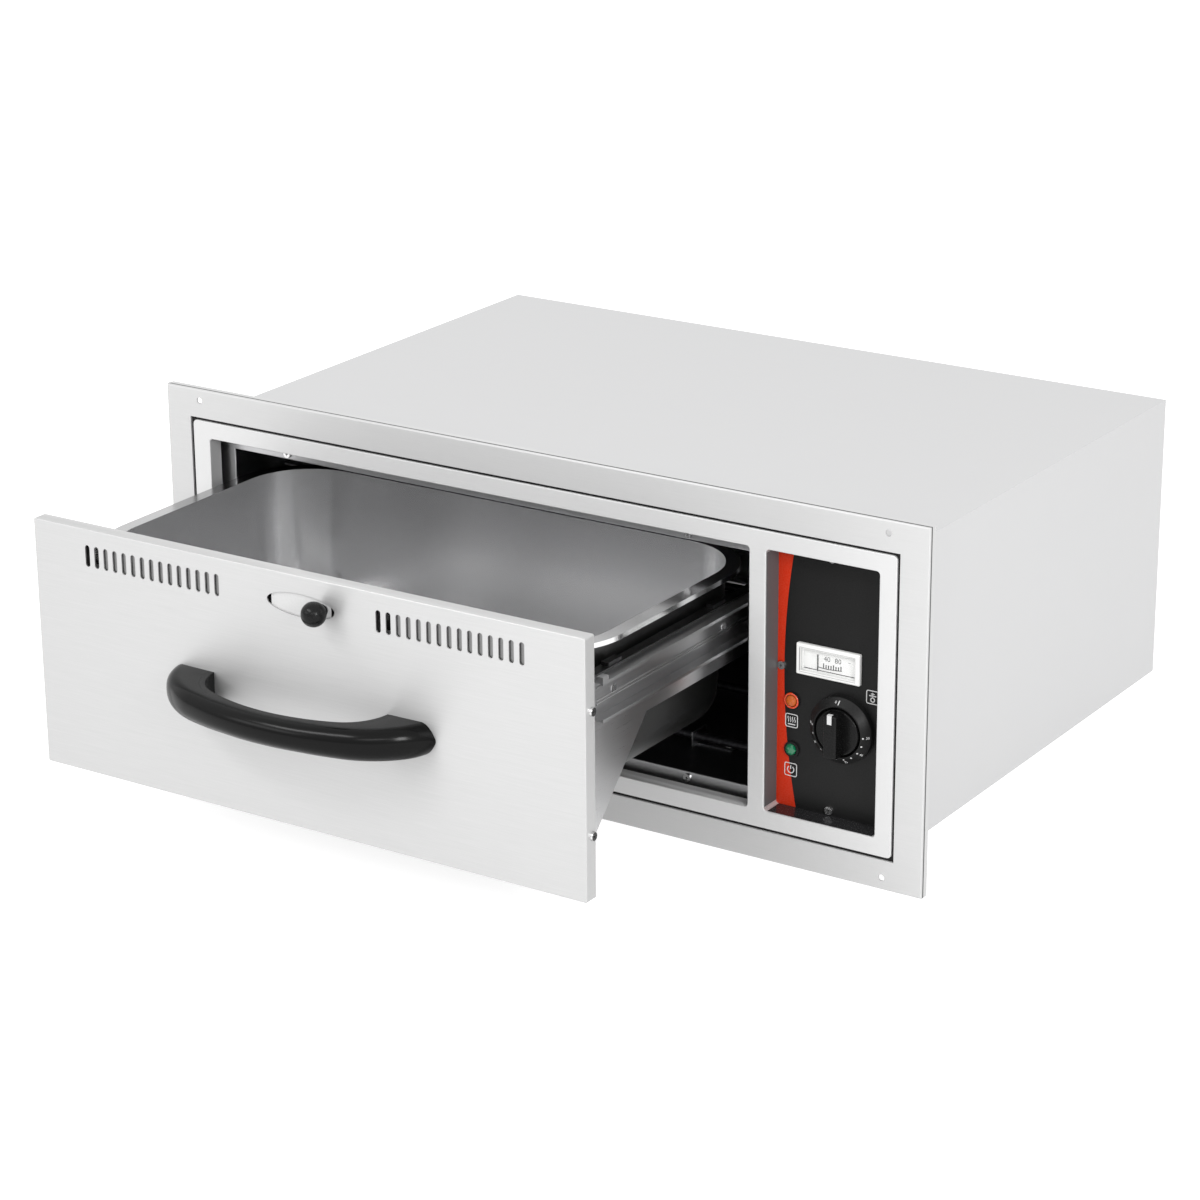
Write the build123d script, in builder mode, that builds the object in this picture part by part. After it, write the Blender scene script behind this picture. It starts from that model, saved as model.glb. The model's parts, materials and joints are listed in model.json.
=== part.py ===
from build123d import *
import os

# Built-in warming drawer, millimetres. +X is to the user's right, +Y runs back into the cabinet, +Z is up.
# The origin is the centre of the four trim screw holes, in the plane of the trim's front face.
# The drawer is modelled pulled out by DRAWER_OPEN.

os.makedirs("parts", exist_ok=True)

# ---------------------------------------------------------------- driving dimensions: trim and face
TRIM_WIDTH = 740.0
TRIM_HEIGHT = 305.0
TRIM_BORDER = 25.0
TRIM_DEPTH = 9.0
TRIM_SHEET = 1.5
TRIM_EDGE_RADIUS = 1.3
TRIM_HOLE_RADIUS = 2.75
TRIM_HOLE_INSET_X = 35.5
TRIM_HOLE_INSET_Z = 10.0

FACE_GAP = 2.5
FACE_SHEET = 1.2
FACE_CORNER = 4.0
FACE_EDGE_RADIUS = 0.8
LEFT_RAIL = 17.5
RIGHT_RAIL = 15.0
TOP_RAIL = 15.0
MOUTH_CORNER = 3.0
MOUTH_RETURN = 14.5
MULLION = 15.0
CONTROL_WIDTH = 100.5

# ---------------------------------------------------------------- driving dimensions: casing
CASING_INSET_X = 5.0
CASING_INSET_Z = 2.0
CASING_REAR_GAP = 50.0
CASING_SHEET = 1.2
CASING_FLANGE = 12.0
CASING_FLANGE_Y = 7.5
TRAY_EDGE = 15.0
LOUVRE_LENGTH = 60.0
LOUVRE_WIDTH = 5.0
LOUVRE_PITCH = 14.0
LOUVRE_COUNT = 7

# ---------------------------------------------------------------- driving dimensions: heated compartment
PANEL_Y = 20.0
PANEL_SHEET = 1.5
BULKHEAD_SHEET = 1.2
LINER_SHEET = 1.0
LINER_INSET_X = 11.0
LINER_INSET_Z = 10.5
LINER_Z = -2.0
LINER_REAR_GAP = 22.0
LINER_FLANGE = 20.0
LINER_FLANGE_RIGHT = 12.0
LINER_LIP_RADIUS = 0.9
DIVIDER_SHEET = 1.2
DIVIDER_FLANGE = 12.0
INSULATION_GAP = 0.2
INSULATION_FRONT_GAP = 8.0
RIGHT_INSULATION = 11.6

ROD_RADIUS = 3.75
ROD_LIFT = 4.0
ROD_FIRST_Y = 75.0
ROD_REAR_GAP = 35.0
ROD_RUNS = 4
ROD_LEFT_GAP = 19.0
ROD_RIGHT_GAP = 6.0
ROD_COLD_END = 28.0
BRACKET_SHEET = 1.2
BRACKET_WIDTH = 14.0
BRACKET_FOOT = 34.0
BRACKET_RIGHT_INSET = 22.0
BRACKET_LEFT_INSET = 40.0

# ---------------------------------------------------------------- driving dimensions: drawer
DRAWER_OPEN = 228.6
FRONT_PLAY_X = 3.0
FRONT_PLAY_Z = 4.5
FRONT_Z = -1.5
FRONT_DEPTH = 12.6
FRONT_SHEET = 1.2
FRONT_EDGE_RADIUS = 0.9
SLOT_COUNT = 15
SLOT_PITCH = 9.4
SLOT_WIDTH = 4.6
SLOT_HEIGHT = 18.2
SLOT_DROP = 22.6
SLOT_GROUP_X = 144.0
WINDOW_X = 4.1
WINDOW_DROP = 24.0
WINDOW_WIDTH = 65.4
WINDOW_HEIGHT = 19.0
SIDE_SCREW_SHARES = (0.218, -0.254)
SIDE_SCREW_SETBACK = 8.5

SHUTTER_SETBACK = 1.8
SHUTTER_SHEET = 1.0
SHUTTER_TRAVEL = 4.5 * SLOT_PITCH
SHUTTER_BOTTOM_DROP = 46.0
SHUTTER_TOP_DROP = 8.0
SHUTTER_END_LAP = 7.5
STUD_RADIUS = 2.5
STUD_DROP = 39.5
STUD_OFFSETS = (-195.0, -66.0, 96.0, 196.0)
KNOB_STEM_X = 26.4
KNOB_STEM_RADIUS = 3.0
KNOB_BALL_RADIUS = 10.0
KNOB_BALL_REACH = 12.5

HANDLE_HEIGHT = 28.5
HANDLE_Z = -5.75
HANDLE_OUTER_HALF = 129.5
HANDLE_OUTER_REACH = 59.5
HANDLE_OUTER_KNEE = (76.0, 48.0)
HANDLE_INNER_HALF = 84.7
HANDLE_INNER_REACH = 43.5
HANDLE_INNER_KNEE = (60.0, 33.2)
HANDLE_LINER = 4.5
HANDLE_EDGE_RADIUS = 10.0
HANDLE_WAIST = 2.0
HANDLE_SCREW_X = 100.0

CARRIAGE_SHEET = 1.2
CARRIAGE_BELOW_SLIDE = 34.7
CARRIAGE_ABOVE_SLIDE = 17.5
CARRIAGE_TAIL = 0.6
CARRIAGE_SHELF = 8.0
GUSSET_TOP_REACH = 104.0
GUSSET_LIFT = 15.0
GUSSET_FOOT = 12.0
CLIP_LENGTH = 18.0
CLIP_HEIGHT = 3.0
CLIP_YS = (-154.0, -3.0)
LUG_LENGTH = 8.0
LUG_HEIGHT = 4.0
LEDGE_DEPTH = 10.0
LEDGE_GAP = 0.3

PAN_SIDE_GAP = 12.8
PAN_DEPTH_Y = 269.8
PAN_Y = -67.2
PAN_CLEAR_Z = 65.0
PAN_SHEET = 1.0
PAN_CORNER = 58.0
PAN_BOTTOM_RADIUS = 28.0
PAN_TAPER = 4.0
PAN_RIM_DROP = 26.0
PAN_RIM = 12.0
PAN_RIM_TURN = 4.0

# ---------------------------------------------------------------- driving dimensions: ball slides
SLIDE_DROP = 64.5
SLIDE_LENGTH = 380.0
SLIDE_FRONT_Y = 38.0
SLIDE_HEIGHT = 32.0
SLIDE_THICKNESS = 12.7
SLIDE_SHEET = 1.2
SLIDE_LIP = 2.5
BALL_RADIUS = 2.5
BALL_PLAY = 0.1
CAGE_LENGTH = 140.0
CAGE_SHEET = 0.6
BALL_PITCH = 12.0
CAGE_PLAY = 1.1

# ---------------------------------------------------------------- driving dimensions: controls
CONTROL_PANEL_MARGIN_X = 10.0
CONTROL_PANEL_MARGIN_Z = 8.0
KNOB_OFFSET_X = 10.65
KNOB_Z = -33.0
DIAL_RADIUS = 27.6
DIAL_EDGE_Y = 14.2
DIAL_CREST_RADIUS = 21.8
DIAL_CREST_Y = 8.8
DIAL_BORE_RADIUS = 20.8
DIAL_SHEET = 1.0
KNOB_RADIUS = 19.4
KNOB_FRONT_Y = 8.0
GRIP_FRONT_Y = -4.0
GRIP_WIDTH = 12.5
GRIP_LENGTH = 37.0
SHAFT_RADIUS = 3.0
SHAFT_PLAY = 0.05
BUSHING_RADIUS = 5.0
THERMOSTAT_SIZE = 44.0
THERMOSTAT_DEPTH = 36.0
LAMP_OFFSET_X = -35.85
AMBER_Z = -19.1
GREEN_Z = -60.5
LAMP_RADIUS = 6.9
LAMP_TUBE_RADIUS = 5.6
LAMP_WALL = 0.8
LAMP_DEPTH = 25.0
GAUGE_OFFSET_X = -3.15
GAUGE_Z = 18.7
GAUGE_WIDTH = 57.0
GAUGE_HEIGHT = 26.0
GAUGE_FRAME = 4.2
GAUGE_PROUD = 3.5
GAUGE_BODY_DEPTH = 38.0
POINTER_OFFSET_X = -11.0
POINTER_WIDTH = 0.9
PANEL_SCREW_X = 46.0
PANEL_SCREW_INSET_Z = 4.5
PANEL_SCREW_MID_Z = 9.0

# ---------------------------------------------------------------- driving dimensions: small hardware
SCREW_RADIUS = 2.0
SCREW_HOLE_RADIUS = 2.1
SCREW_HEAD_RADIUS = 3.8
SCREW_HEAD_HEIGHT = 2.0
SCREW_LENGTH = 7.0
SCREW_RECESS_RADIUS = 1.3
SCREW_RECESS_DEPTH = 1.0
SLIDE_SCREW_HEAD_RADIUS = 3.4
SLIDE_SCREW_HEAD_HEIGHT = 0.5
HANDLE_SCREW_RADIUS = 2.5
HANDLE_SCREW_LENGTH = 14.0
CAPILLARY_RADIUS = 1.1
CAPILLARY_BEND = 20.0
BULB_RADIUS = 3.5
BULB_LENGTH = 90.0
BULB_REAR_GAP = 10.0
THERMOSTAT_BULB_DROP = 11.5
GAUGE_BULB_DROP = 27.5
BULB_RIGHT_GAP = 51.0
LEAD_RADIUS = 1.5
LEAD_BEND = 9.0
GLAND_LIFT = 36.3
GLAND_BORE_RADIUS = 5.0
GLAND_TUBE_RADIUS = 8.0
GLAND_FLANGE_RADIUS = 12.0
GLAND_REACH = 22.0
CLEARANCE = 0.3
TOUCH = 0.1

# ---------------------------------------------------------------- places worked out from them
OPENING_WIDTH = TRIM_WIDTH - 2 * TRIM_BORDER
OPENING_HEIGHT = TRIM_HEIGHT - 2 * TRIM_BORDER
FACE_WIDTH = OPENING_WIDTH - 2 * FACE_GAP
FACE_HEIGHT = OPENING_HEIGHT - 2 * FACE_GAP
MOUTH_WIDTH = FACE_WIDTH - LEFT_RAIL - MULLION - CONTROL_WIDTH - RIGHT_RAIL
MOUTH_HEIGHT = FACE_HEIGHT - 2 * TOP_RAIL
MOUTH_X = LEFT_RAIL + (MOUTH_WIDTH - FACE_WIDTH) / 2
CONTROL_LEFT_X = MOUTH_X + MOUTH_WIDTH / 2 + MULLION
CONTROL_X = CONTROL_LEFT_X + CONTROL_WIDTH / 2

LINER_WIDTH = MOUTH_WIDTH - 2 * LINER_INSET_X
LINER_HEIGHT = MOUTH_HEIGHT - 2 * LINER_INSET_Z
LINER_BACK_Y = SLIDE_FRONT_Y + SLIDE_LENGTH + LINER_REAR_GAP
LINER_LEFT_X = MOUTH_X - LINER_WIDTH / 2
LINER_RIGHT_X = MOUTH_X + LINER_WIDTH / 2
LINER_FLOOR_Z = LINER_Z - LINER_HEIGHT / 2
LINER_TOP_Z = LINER_Z + LINER_HEIGHT / 2

CASING_WIDTH = OPENING_WIDTH - 2 * CASING_INSET_X
CASING_HEIGHT = OPENING_HEIGHT - 2 * CASING_INSET_Z
CASING_BACK_Y = LINER_BACK_Y + CASING_REAR_GAP
CASING_HALF_X = CASING_WIDTH / 2
CASING_HALF_Z = CASING_HEIGHT / 2
INSIDE_X = CASING_HALF_X - CASING_SHEET
INSIDE_Z = CASING_HALF_Z - CASING_SHEET
BACK_INNER_Y = CASING_BACK_Y - CASING_SHEET
BULKHEAD_Y = PANEL_Y + PANEL_SHEET
BULKHEAD_BACK_Y = BULKHEAD_Y + BULKHEAD_SHEET
LINER_FLANGE_Y = BULKHEAD_Y - LINER_SHEET
DIVIDER_X = LINER_RIGHT_X + LINER_SHEET + RIGHT_INSULATION + 2 * INSULATION_GAP
COMPARTMENT_X = DIVIDER_X + DIVIDER_SHEET
GLAND_Z = GLAND_LIFT - INSIDE_Z

ROD_Z = LINER_FLOOR_Z + ROD_LIFT + ROD_RADIUS
ROD_PITCH = (LINER_BACK_Y - ROD_REAR_GAP - ROD_FIRST_Y) / (ROD_RUNS - 1)
ROD_LEFT_X = LINER_LEFT_X + ROD_PITCH / 2 + ROD_LEFT_GAP
ROD_RIGHT_X = LINER_RIGHT_X - ROD_PITCH / 2 - ROD_RIGHT_GAP
ROD_YS = [ROD_FIRST_Y + ROD_PITCH * run for run in range(ROD_RUNS)]
ROD_END_X = DIVIDER_X + ROD_COLD_END / 2
BRACKET_XS = (ROD_RIGHT_X - BRACKET_RIGHT_INSET, ROD_LEFT_X + BRACKET_LEFT_INSET)
BULB_Y = LINER_BACK_Y - BULB_REAR_GAP
BULB_RIGHT_X = LINER_RIGHT_X - BULB_RIGHT_GAP
THERMOSTAT_BULB_Z = LINER_TOP_Z - THERMOSTAT_BULB_DROP
GAUGE_BULB_Z = LINER_TOP_Z - GAUGE_BULB_DROP

FRONT_WIDTH = MOUTH_WIDTH - 2 * FRONT_PLAY_X
FRONT_HEIGHT = MOUTH_HEIGHT - 2 * FRONT_PLAY_Z
FRONT_TOP_Z = FRONT_Z + FRONT_HEIGHT / 2
FRONT_Y = -DRAWER_OPEN
FRONT_BACK_Y = FRONT_Y + FRONT_DEPTH
FRONT_HALF_X = FRONT_WIDTH / 2
SLOT_Z = FRONT_TOP_Z - SLOT_DROP
WINDOW_Z = FRONT_TOP_Z - WINDOW_DROP
SIDE_SCREW_ZS = [FRONT_Z + share * FRONT_HEIGHT for share in SIDE_SCREW_SHARES]
SHUTTER_BOTTOM_Z = FRONT_TOP_Z - SHUTTER_BOTTOM_DROP
SHUTTER_TOP_Z = FRONT_TOP_Z - SHUTTER_TOP_DROP
STUD_Z = FRONT_TOP_Z - STUD_DROP
SHUTTER_Y = FRONT_Y + SHUTTER_SETBACK
SHUTTER_BACK_Y = SHUTTER_Y + SHUTTER_SHEET

SLIDE_Z = FRONT_TOP_Z - SLIDE_DROP
SLIDE_HALF = SLIDE_HEIGHT / 2
DRAWER_RACE = SLIDE_HALF - SLIDE_SHEET
CABINET_HALF = DRAWER_RACE - 2 * (BALL_RADIUS + BALL_PLAY)
DRAWER_SLIDE_Y = SLIDE_FRONT_Y - DRAWER_OPEN
SLIDE_CENTRE_Y = SLIDE_FRONT_Y + SLIDE_LENGTH / 2
CAGE_Y = SLIDE_CENTRE_Y - DRAWER_OPEN / 2 - CAGE_LENGTH / 2
BALLS_PER_RACE = int(CAGE_LENGTH // BALL_PITCH)
SLIDE_SCREW_YS = [SLIDE_FRONT_Y + SLIDE_LENGTH * share for share in (0.08, 0.5, 0.92)]
CARRIAGE_HALF = LINER_WIDTH / 2 - SLIDE_THICKNESS
CARRIAGE_BOTTOM_Z = SLIDE_Z - CARRIAGE_BELOW_SLIDE
CARRIAGE_TOP_Z = SLIDE_Z + CARRIAGE_ABOVE_SLIDE
CARRIAGE_BACK_Y = DRAWER_SLIDE_Y + SLIDE_LENGTH + CARRIAGE_TAIL
GUSSET_BOTTOM_Z = FRONT_Z - FRONT_HEIGHT / 2 + GUSSET_LIFT
PAN_LENGTH = 2 * (CARRIAGE_HALF - PAN_SIDE_GAP)
PAN_HEIGHT = LINER_HEIGHT - PAN_CLEAR_Z
PAN_RIM_Z = FRONT_TOP_Z - PAN_RIM_DROP

CONTROL_PANEL_HEIGHT = MOUTH_HEIGHT + 2 * CONTROL_PANEL_MARGIN_Z
PANEL_SCREW_Z = MOUTH_HEIGHT / 2 - PANEL_SCREW_INSET_Z
KNOB_X = CONTROL_X + KNOB_OFFSET_X
KNOB_BACK_Y = PANEL_Y - DIAL_SHEET - CLEARANCE * 2
LAMP_X = CONTROL_X + LAMP_OFFSET_X
GAUGE_X = CONTROL_X + GAUGE_OFFSET_X
POINTER_X = GAUGE_X + POINTER_OFFSET_X
SIDES = ((-1, "left"), (1, "right"))



def front_plane(y):
    """Plane at depth y: sketch X is X, sketch Y is Z. A negative extrusion runs back into the cabinet."""
    return Plane.XZ.offset(-y)


def side_plane(x):
    """Plane at width x: sketch X is Y, sketch Y is Z. A positive extrusion runs towards +X."""
    return Plane.YZ.offset(x)


def slide_x(side, out):
    """X of a point that lies `out` mm outward from the carriage's side wall."""
    return MOUTH_X + side * (CARRIAGE_HALF + out)


def frame_sketch(width, height, corner, wall, x=0.0, z=0.0):
    """Outline of a sheet return: a rounded rectangle of this inside size with a wall around it."""
    with Locations((x, z)):
        RectangleRounded(width + 2 * wall, height + 2 * wall, corner + wall)
        RectangleRounded(width, height, corner, mode=Mode.SUBTRACT)


def block(x0, x1, y0, y1, z0, z1, mode=Mode.ADD):
    """A box between two corners, for the part being built."""
    with Locations(((x0 + x1) / 2, (y0 + y1) / 2, (z0 + z1) / 2)):
        Box(x1 - x0, y1 - y0, z1 - z0, mode=mode)


def channel(side, web_out, tip_out, half_height, lip, opens):
    """Section of a slide member: a web with two flanges, and lips where it has them.
    opens is +1 where the flanges run outward from the web, -1 where they run inward."""
    web_far = web_out + opens * SLIDE_SHEET
    web_centre = slide_x(side, (web_out + web_far) / 2)
    flange_centre = slide_x(side, (web_out + tip_out) / 2)
    flange_length = abs(tip_out - web_out)
    with Locations((web_centre, SLIDE_Z)):
        Rectangle(SLIDE_SHEET, 2 * half_height)
    for up in (-1, 1):
        with Locations((flange_centre, SLIDE_Z + up * (half_height - SLIDE_SHEET / 2))):
            Rectangle(flange_length, SLIDE_SHEET)
        if lip > 0:
            lip_centre = slide_x(side, tip_out - opens * SLIDE_SHEET / 2)
            with Locations((lip_centre, SLIDE_Z + up * (half_height - lip / 2))):
                Rectangle(SLIDE_SHEET, lip)


def pan_head_screw(x, y, z, direction):
    """A pan-head screw with its head's underside at (x, y, z) and its shank along direction."""
    seat = Plane(origin=(x, y, z), z_dir=direction)
    with BuildSketch(seat) as shank:
        Circle(SCREW_RADIUS)
    extrude(shank.sketch, amount=SCREW_LENGTH)
    with BuildSketch(seat) as head:
        Circle(SCREW_HEAD_RADIUS)
    extrude(head.sketch, amount=-SCREW_HEAD_HEIGHT, taper=12)
    with BuildSketch(seat.offset(-SCREW_HEAD_HEIGHT)) as recess:
        Rectangle(2 * SCREW_RECESS_RADIUS, SCREW_RECESS_RADIUS / 2)
        Rectangle(SCREW_RECESS_RADIUS / 2, 2 * SCREW_RECESS_RADIUS)
    extrude(recess.sketch, amount=SCREW_RECESS_DEPTH, mode=Mode.SUBTRACT)


# Screw places that two or more pieces share, as (x, z) on a front plane.
LINER_SCREWS = [
    (MOUTH_X + side * LINER_WIDTH * 0.389, LINER_Z + up * (LINER_HEIGHT / 2 + 5.1))
    for side in (-1, 1) for up in (-1, 1)
]
PANEL_SCREWS = [
    (CONTROL_X - PANEL_SCREW_X, PANEL_SCREW_MID_Z),
    (CONTROL_X + PANEL_SCREW_X, PANEL_SCREW_MID_Z),
    (CONTROL_X - 1.5, -PANEL_SCREW_Z),
    (CONTROL_X - 1.5, PANEL_SCREW_Z),
]
BACK_SCREW_INSET = 6.0
BACK_SCREWS = [
    (side * (CASING_HALF_X - BACK_SCREW_INSET), up * CASING_HEIGHT * 0.3)
    for side in (-1, 1) for up in (-1, 1)
] + [
    (share * CASING_WIDTH, up * (CASING_HALF_Z - BACK_SCREW_INSET))
    for share in (-0.3, 0.3) for up in (-1, 1)
]
BRACKET_PLACES = [(x, y) for x in BRACKET_XS for y in ROD_YS]
BRACKET_SCREW_X = 28.0
BRACKET_SCREW_Y = 8.0
CAPILLARY_HOLES = [(BULB_Y, THERMOSTAT_BULB_Z), (BULB_Y, GAUGE_BULB_Z)]

# ================================================================ trim and face
with BuildPart() as trim_frame:
    with BuildSketch(front_plane(0)):
        Rectangle(TRIM_WIDTH, TRIM_HEIGHT)
    extrude(amount=-TRIM_DEPTH)
    fillet(trim_frame.faces().sort_by(Axis.Y)[0].edges(), TRIM_EDGE_RADIUS)
    with BuildSketch(front_plane(0)):
        Rectangle(OPENING_WIDTH, OPENING_HEIGHT)
    extrude(amount=-TRIM_DEPTH, mode=Mode.SUBTRACT)
    # hollow behind the front sheet, between the outer hem and the inner return
    with BuildSketch(front_plane(TRIM_DEPTH)):
        Rectangle(TRIM_WIDTH - 2 * TRIM_SHEET, TRIM_HEIGHT - 2 * TRIM_SHEET)
        Rectangle(OPENING_WIDTH + 2 * TRIM_SHEET, OPENING_HEIGHT + 2 * TRIM_SHEET, mode=Mode.SUBTRACT)
    extrude(amount=TRIM_DEPTH - TRIM_SHEET, mode=Mode.SUBTRACT)
    # the inner return stops at the casing's flange
    with BuildSketch(front_plane(CASING_FLANGE_Y)):
        Rectangle(OPENING_WIDTH + 2 * TRIM_SHEET, OPENING_HEIGHT + 2 * TRIM_SHEET)
    extrude(amount=-(TRIM_DEPTH - CASING_FLANGE_Y), mode=Mode.SUBTRACT)
    with BuildSketch(front_plane(0)):
        with GridLocations(TRIM_WIDTH - 2 * TRIM_HOLE_INSET_X, TRIM_HEIGHT - 2 * TRIM_HOLE_INSET_Z, 2, 2):
            Circle(TRIM_HOLE_RADIUS)
    extrude(amount=-TRIM_SHEET, mode=Mode.SUBTRACT)
trim_frame.part.label = "trim_frame"
export_step(trim_frame.part, "parts/trim_frame.step")

with BuildPart() as face_frame:
    with BuildSketch(front_plane(0)):
        RectangleRounded(FACE_WIDTH, FACE_HEIGHT, FACE_CORNER)
        with Locations((MOUTH_X, 0)):
            RectangleRounded(MOUTH_WIDTH, MOUTH_HEIGHT, MOUTH_CORNER, mode=Mode.SUBTRACT)
        with Locations((CONTROL_X, 0)):
            RectangleRounded(CONTROL_WIDTH, MOUTH_HEIGHT, MOUTH_CORNER, mode=Mode.SUBTRACT)
    extrude(amount=-FACE_SHEET)
    with BuildSketch(front_plane(FACE_SHEET)):
        frame_sketch(FACE_WIDTH - 2 * FACE_SHEET, FACE_HEIGHT - 2 * FACE_SHEET,
                     FACE_CORNER - FACE_SHEET, FACE_SHEET)
    extrude(amount=-(CASING_FLANGE_Y - FACE_SHEET))
    with BuildSketch(front_plane(FACE_SHEET)):
        frame_sketch(MOUTH_WIDTH, MOUTH_HEIGHT, MOUTH_CORNER, FACE_SHEET, x=MOUTH_X)
    extrude(amount=-(MOUTH_RETURN - FACE_SHEET))
    with BuildSketch(front_plane(FACE_SHEET)):
        frame_sketch(CONTROL_WIDTH, MOUTH_HEIGHT, MOUTH_CORNER, FACE_SHEET, x=CONTROL_X)
    extrude(amount=-(PANEL_Y - FACE_SHEET))
    fillet(face_frame.faces().sort_by(Axis.Y)[0].edges(), FACE_EDGE_RADIUS)
face_frame.part.label = "face_frame"
export_step(face_frame.part, "parts/face_frame.step")

# ================================================================ casing
with BuildPart() as casing_shell:
    with BuildSketch(front_plane(CASING_FLANGE_Y)):
        Rectangle(CASING_WIDTH, CASING_HEIGHT)
        with Locations((0, -CASING_SHEET)):
            Rectangle(2 * INSIDE_X, CASING_HEIGHT, mode=Mode.SUBTRACT)
    extrude(amount=-(BACK_INNER_Y - CASING_FLANGE_Y))
    # front flange behind the trim, and lips for the back panel
    with BuildSketch(front_plane(CASING_FLANGE_Y)):
        with Locations((0, CASING_FLANGE / 2)):
            Rectangle(CASING_WIDTH + 2 * CASING_FLANGE, CASING_HEIGHT + CASING_FLANGE)
        with Locations((0, -CASING_SHEET)):
            Rectangle(2 * INSIDE_X, CASING_HEIGHT, mode=Mode.SUBTRACT)
    extrude(amount=-CASING_SHEET)
    with BuildSketch(front_plane(BACK_INNER_Y)):
        Rectangle(CASING_WIDTH, CASING_HEIGHT)
        with Locations((0, -CASING_FLANGE)):
            Rectangle(CASING_WIDTH - 2 * CASING_FLANGE, CASING_HEIGHT, mode=Mode.SUBTRACT)
        with Locations((0, -CASING_HALF_Z)):
            Rectangle(CASING_WIDTH, 2 * (TRAY_EDGE + CASING_SHEET), mode=Mode.SUBTRACT)
    extrude(amount=CASING_SHEET)
    with BuildSketch(front_plane(BACK_INNER_Y)):
        with Locations(*BACK_SCREWS):
            Circle(SCREW_HOLE_RADIUS)
    extrude(amount=CASING_SHEET, mode=Mode.SUBTRACT)
casing_shell.part.label = "casing_shell"
export_step(casing_shell.part, "parts/casing_shell.step")

with BuildPart() as casing_bottom:
    with BuildSketch(front_plane(CASING_FLANGE_Y)):
        with Locations((0, -CASING_HALF_Z + TRAY_EDGE / 2)):
            Rectangle(2 * INSIDE_X, TRAY_EDGE)
        with Locations((0, -CASING_HALF_Z + TRAY_EDGE / 2 + CASING_SHEET)):
            Rectangle(2 * (INSIDE_X - CASING_SHEET), TRAY_EDGE, mode=Mode.SUBTRACT)
    extrude(amount=-(BACK_INNER_Y - CASING_FLANGE_Y))
    block(-CASING_HALF_X, CASING_HALF_X, CASING_FLANGE_Y, CASING_FLANGE_Y + CASING_SHEET,
          -CASING_HALF_Z - CASING_FLANGE, -CASING_HALF_Z)
    block(-INSIDE_X, INSIDE_X, CASING_FLANGE_Y, CASING_FLANGE_Y + CASING_SHEET,
          -CASING_HALF_Z, -INSIDE_Z)
    block(-INSIDE_X, INSIDE_X, BACK_INNER_Y - CASING_SHEET, BACK_INNER_Y,
          -CASING_HALF_Z, -CASING_HALF_Z + TRAY_EDGE)
    with BuildSketch(front_plane(BACK_INNER_Y)):
        with Locations(*BACK_SCREWS):
            Circle(SCREW_HOLE_RADIUS)
    extrude(amount=CASING_SHEET, mode=Mode.SUBTRACT)
casing_bottom.part.label = "casing_bottom"
export_step(casing_bottom.part, "parts/casing_bottom.step")

LOUVRE_X = (COMPARTMENT_X + INSIDE_X) / 2
with BuildPart() as casing_back:
    with BuildSketch(front_plane(CASING_BACK_Y)):
        Rectangle(CASING_WIDTH, CASING_HEIGHT)
        with Locations(*BACK_SCREWS):
            Circle(SCREW_HOLE_RADIUS, mode=Mode.SUBTRACT)
        with Locations((LOUVRE_X, LOUVRE_PITCH * 2)):
            with GridLocations(0, LOUVRE_PITCH, 1, LOUVRE_COUNT):
                SlotOverall(LOUVRE_LENGTH, LOUVRE_WIDTH, mode=Mode.SUBTRACT)
        with Locations((LOUVRE_X, GLAND_Z)):
            Circle(GLAND_TUBE_RADIUS + TOUCH, mode=Mode.SUBTRACT)
    extrude(amount=CASING_SHEET)
casing_back.part.label = "casing_back"
export_step(casing_back.part, "parts/casing_back.step")

with BuildPart() as cable_gland:
    with BuildSketch(front_plane(CASING_BACK_Y)):
        with Locations((LOUVRE_X, GLAND_Z)):
            RegularPolygon(GLAND_FLANGE_RADIUS, 6)
    extrude(amount=-GLAND_REACH / 3)
    with BuildSketch(front_plane(CASING_BACK_Y + GLAND_REACH / 3)):
        with Locations((LOUVRE_X, GLAND_Z)):
            Circle(GLAND_FLANGE_RADIUS - 1.5)
    extrude(amount=-GLAND_REACH * 2 / 3, taper=8)
    with BuildSketch(front_plane(CASING_BACK_Y)):
        with Locations((LOUVRE_X, GLAND_Z)):
            Circle(GLAND_TUBE_RADIUS)
    extrude(amount=GLAND_REACH / 2)
    with BuildSketch(front_plane(BACK_INNER_Y - CLEARANCE)):
        with Locations((LOUVRE_X, GLAND_Z)):
            RegularPolygon(GLAND_FLANGE_RADIUS, 6)
    extrude(amount=GLAND_REACH / 5)
    with BuildSketch(front_plane(CASING_BACK_Y + GLAND_REACH)):
        with Locations((LOUVRE_X, GLAND_Z)):
            Circle(GLAND_BORE_RADIUS)
    extrude(amount=GLAND_REACH * 1.5, mode=Mode.SUBTRACT)
cable_gland.part.label = "cable_gland"
export_step(cable_gland.part, "parts/cable_gland.step")

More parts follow.
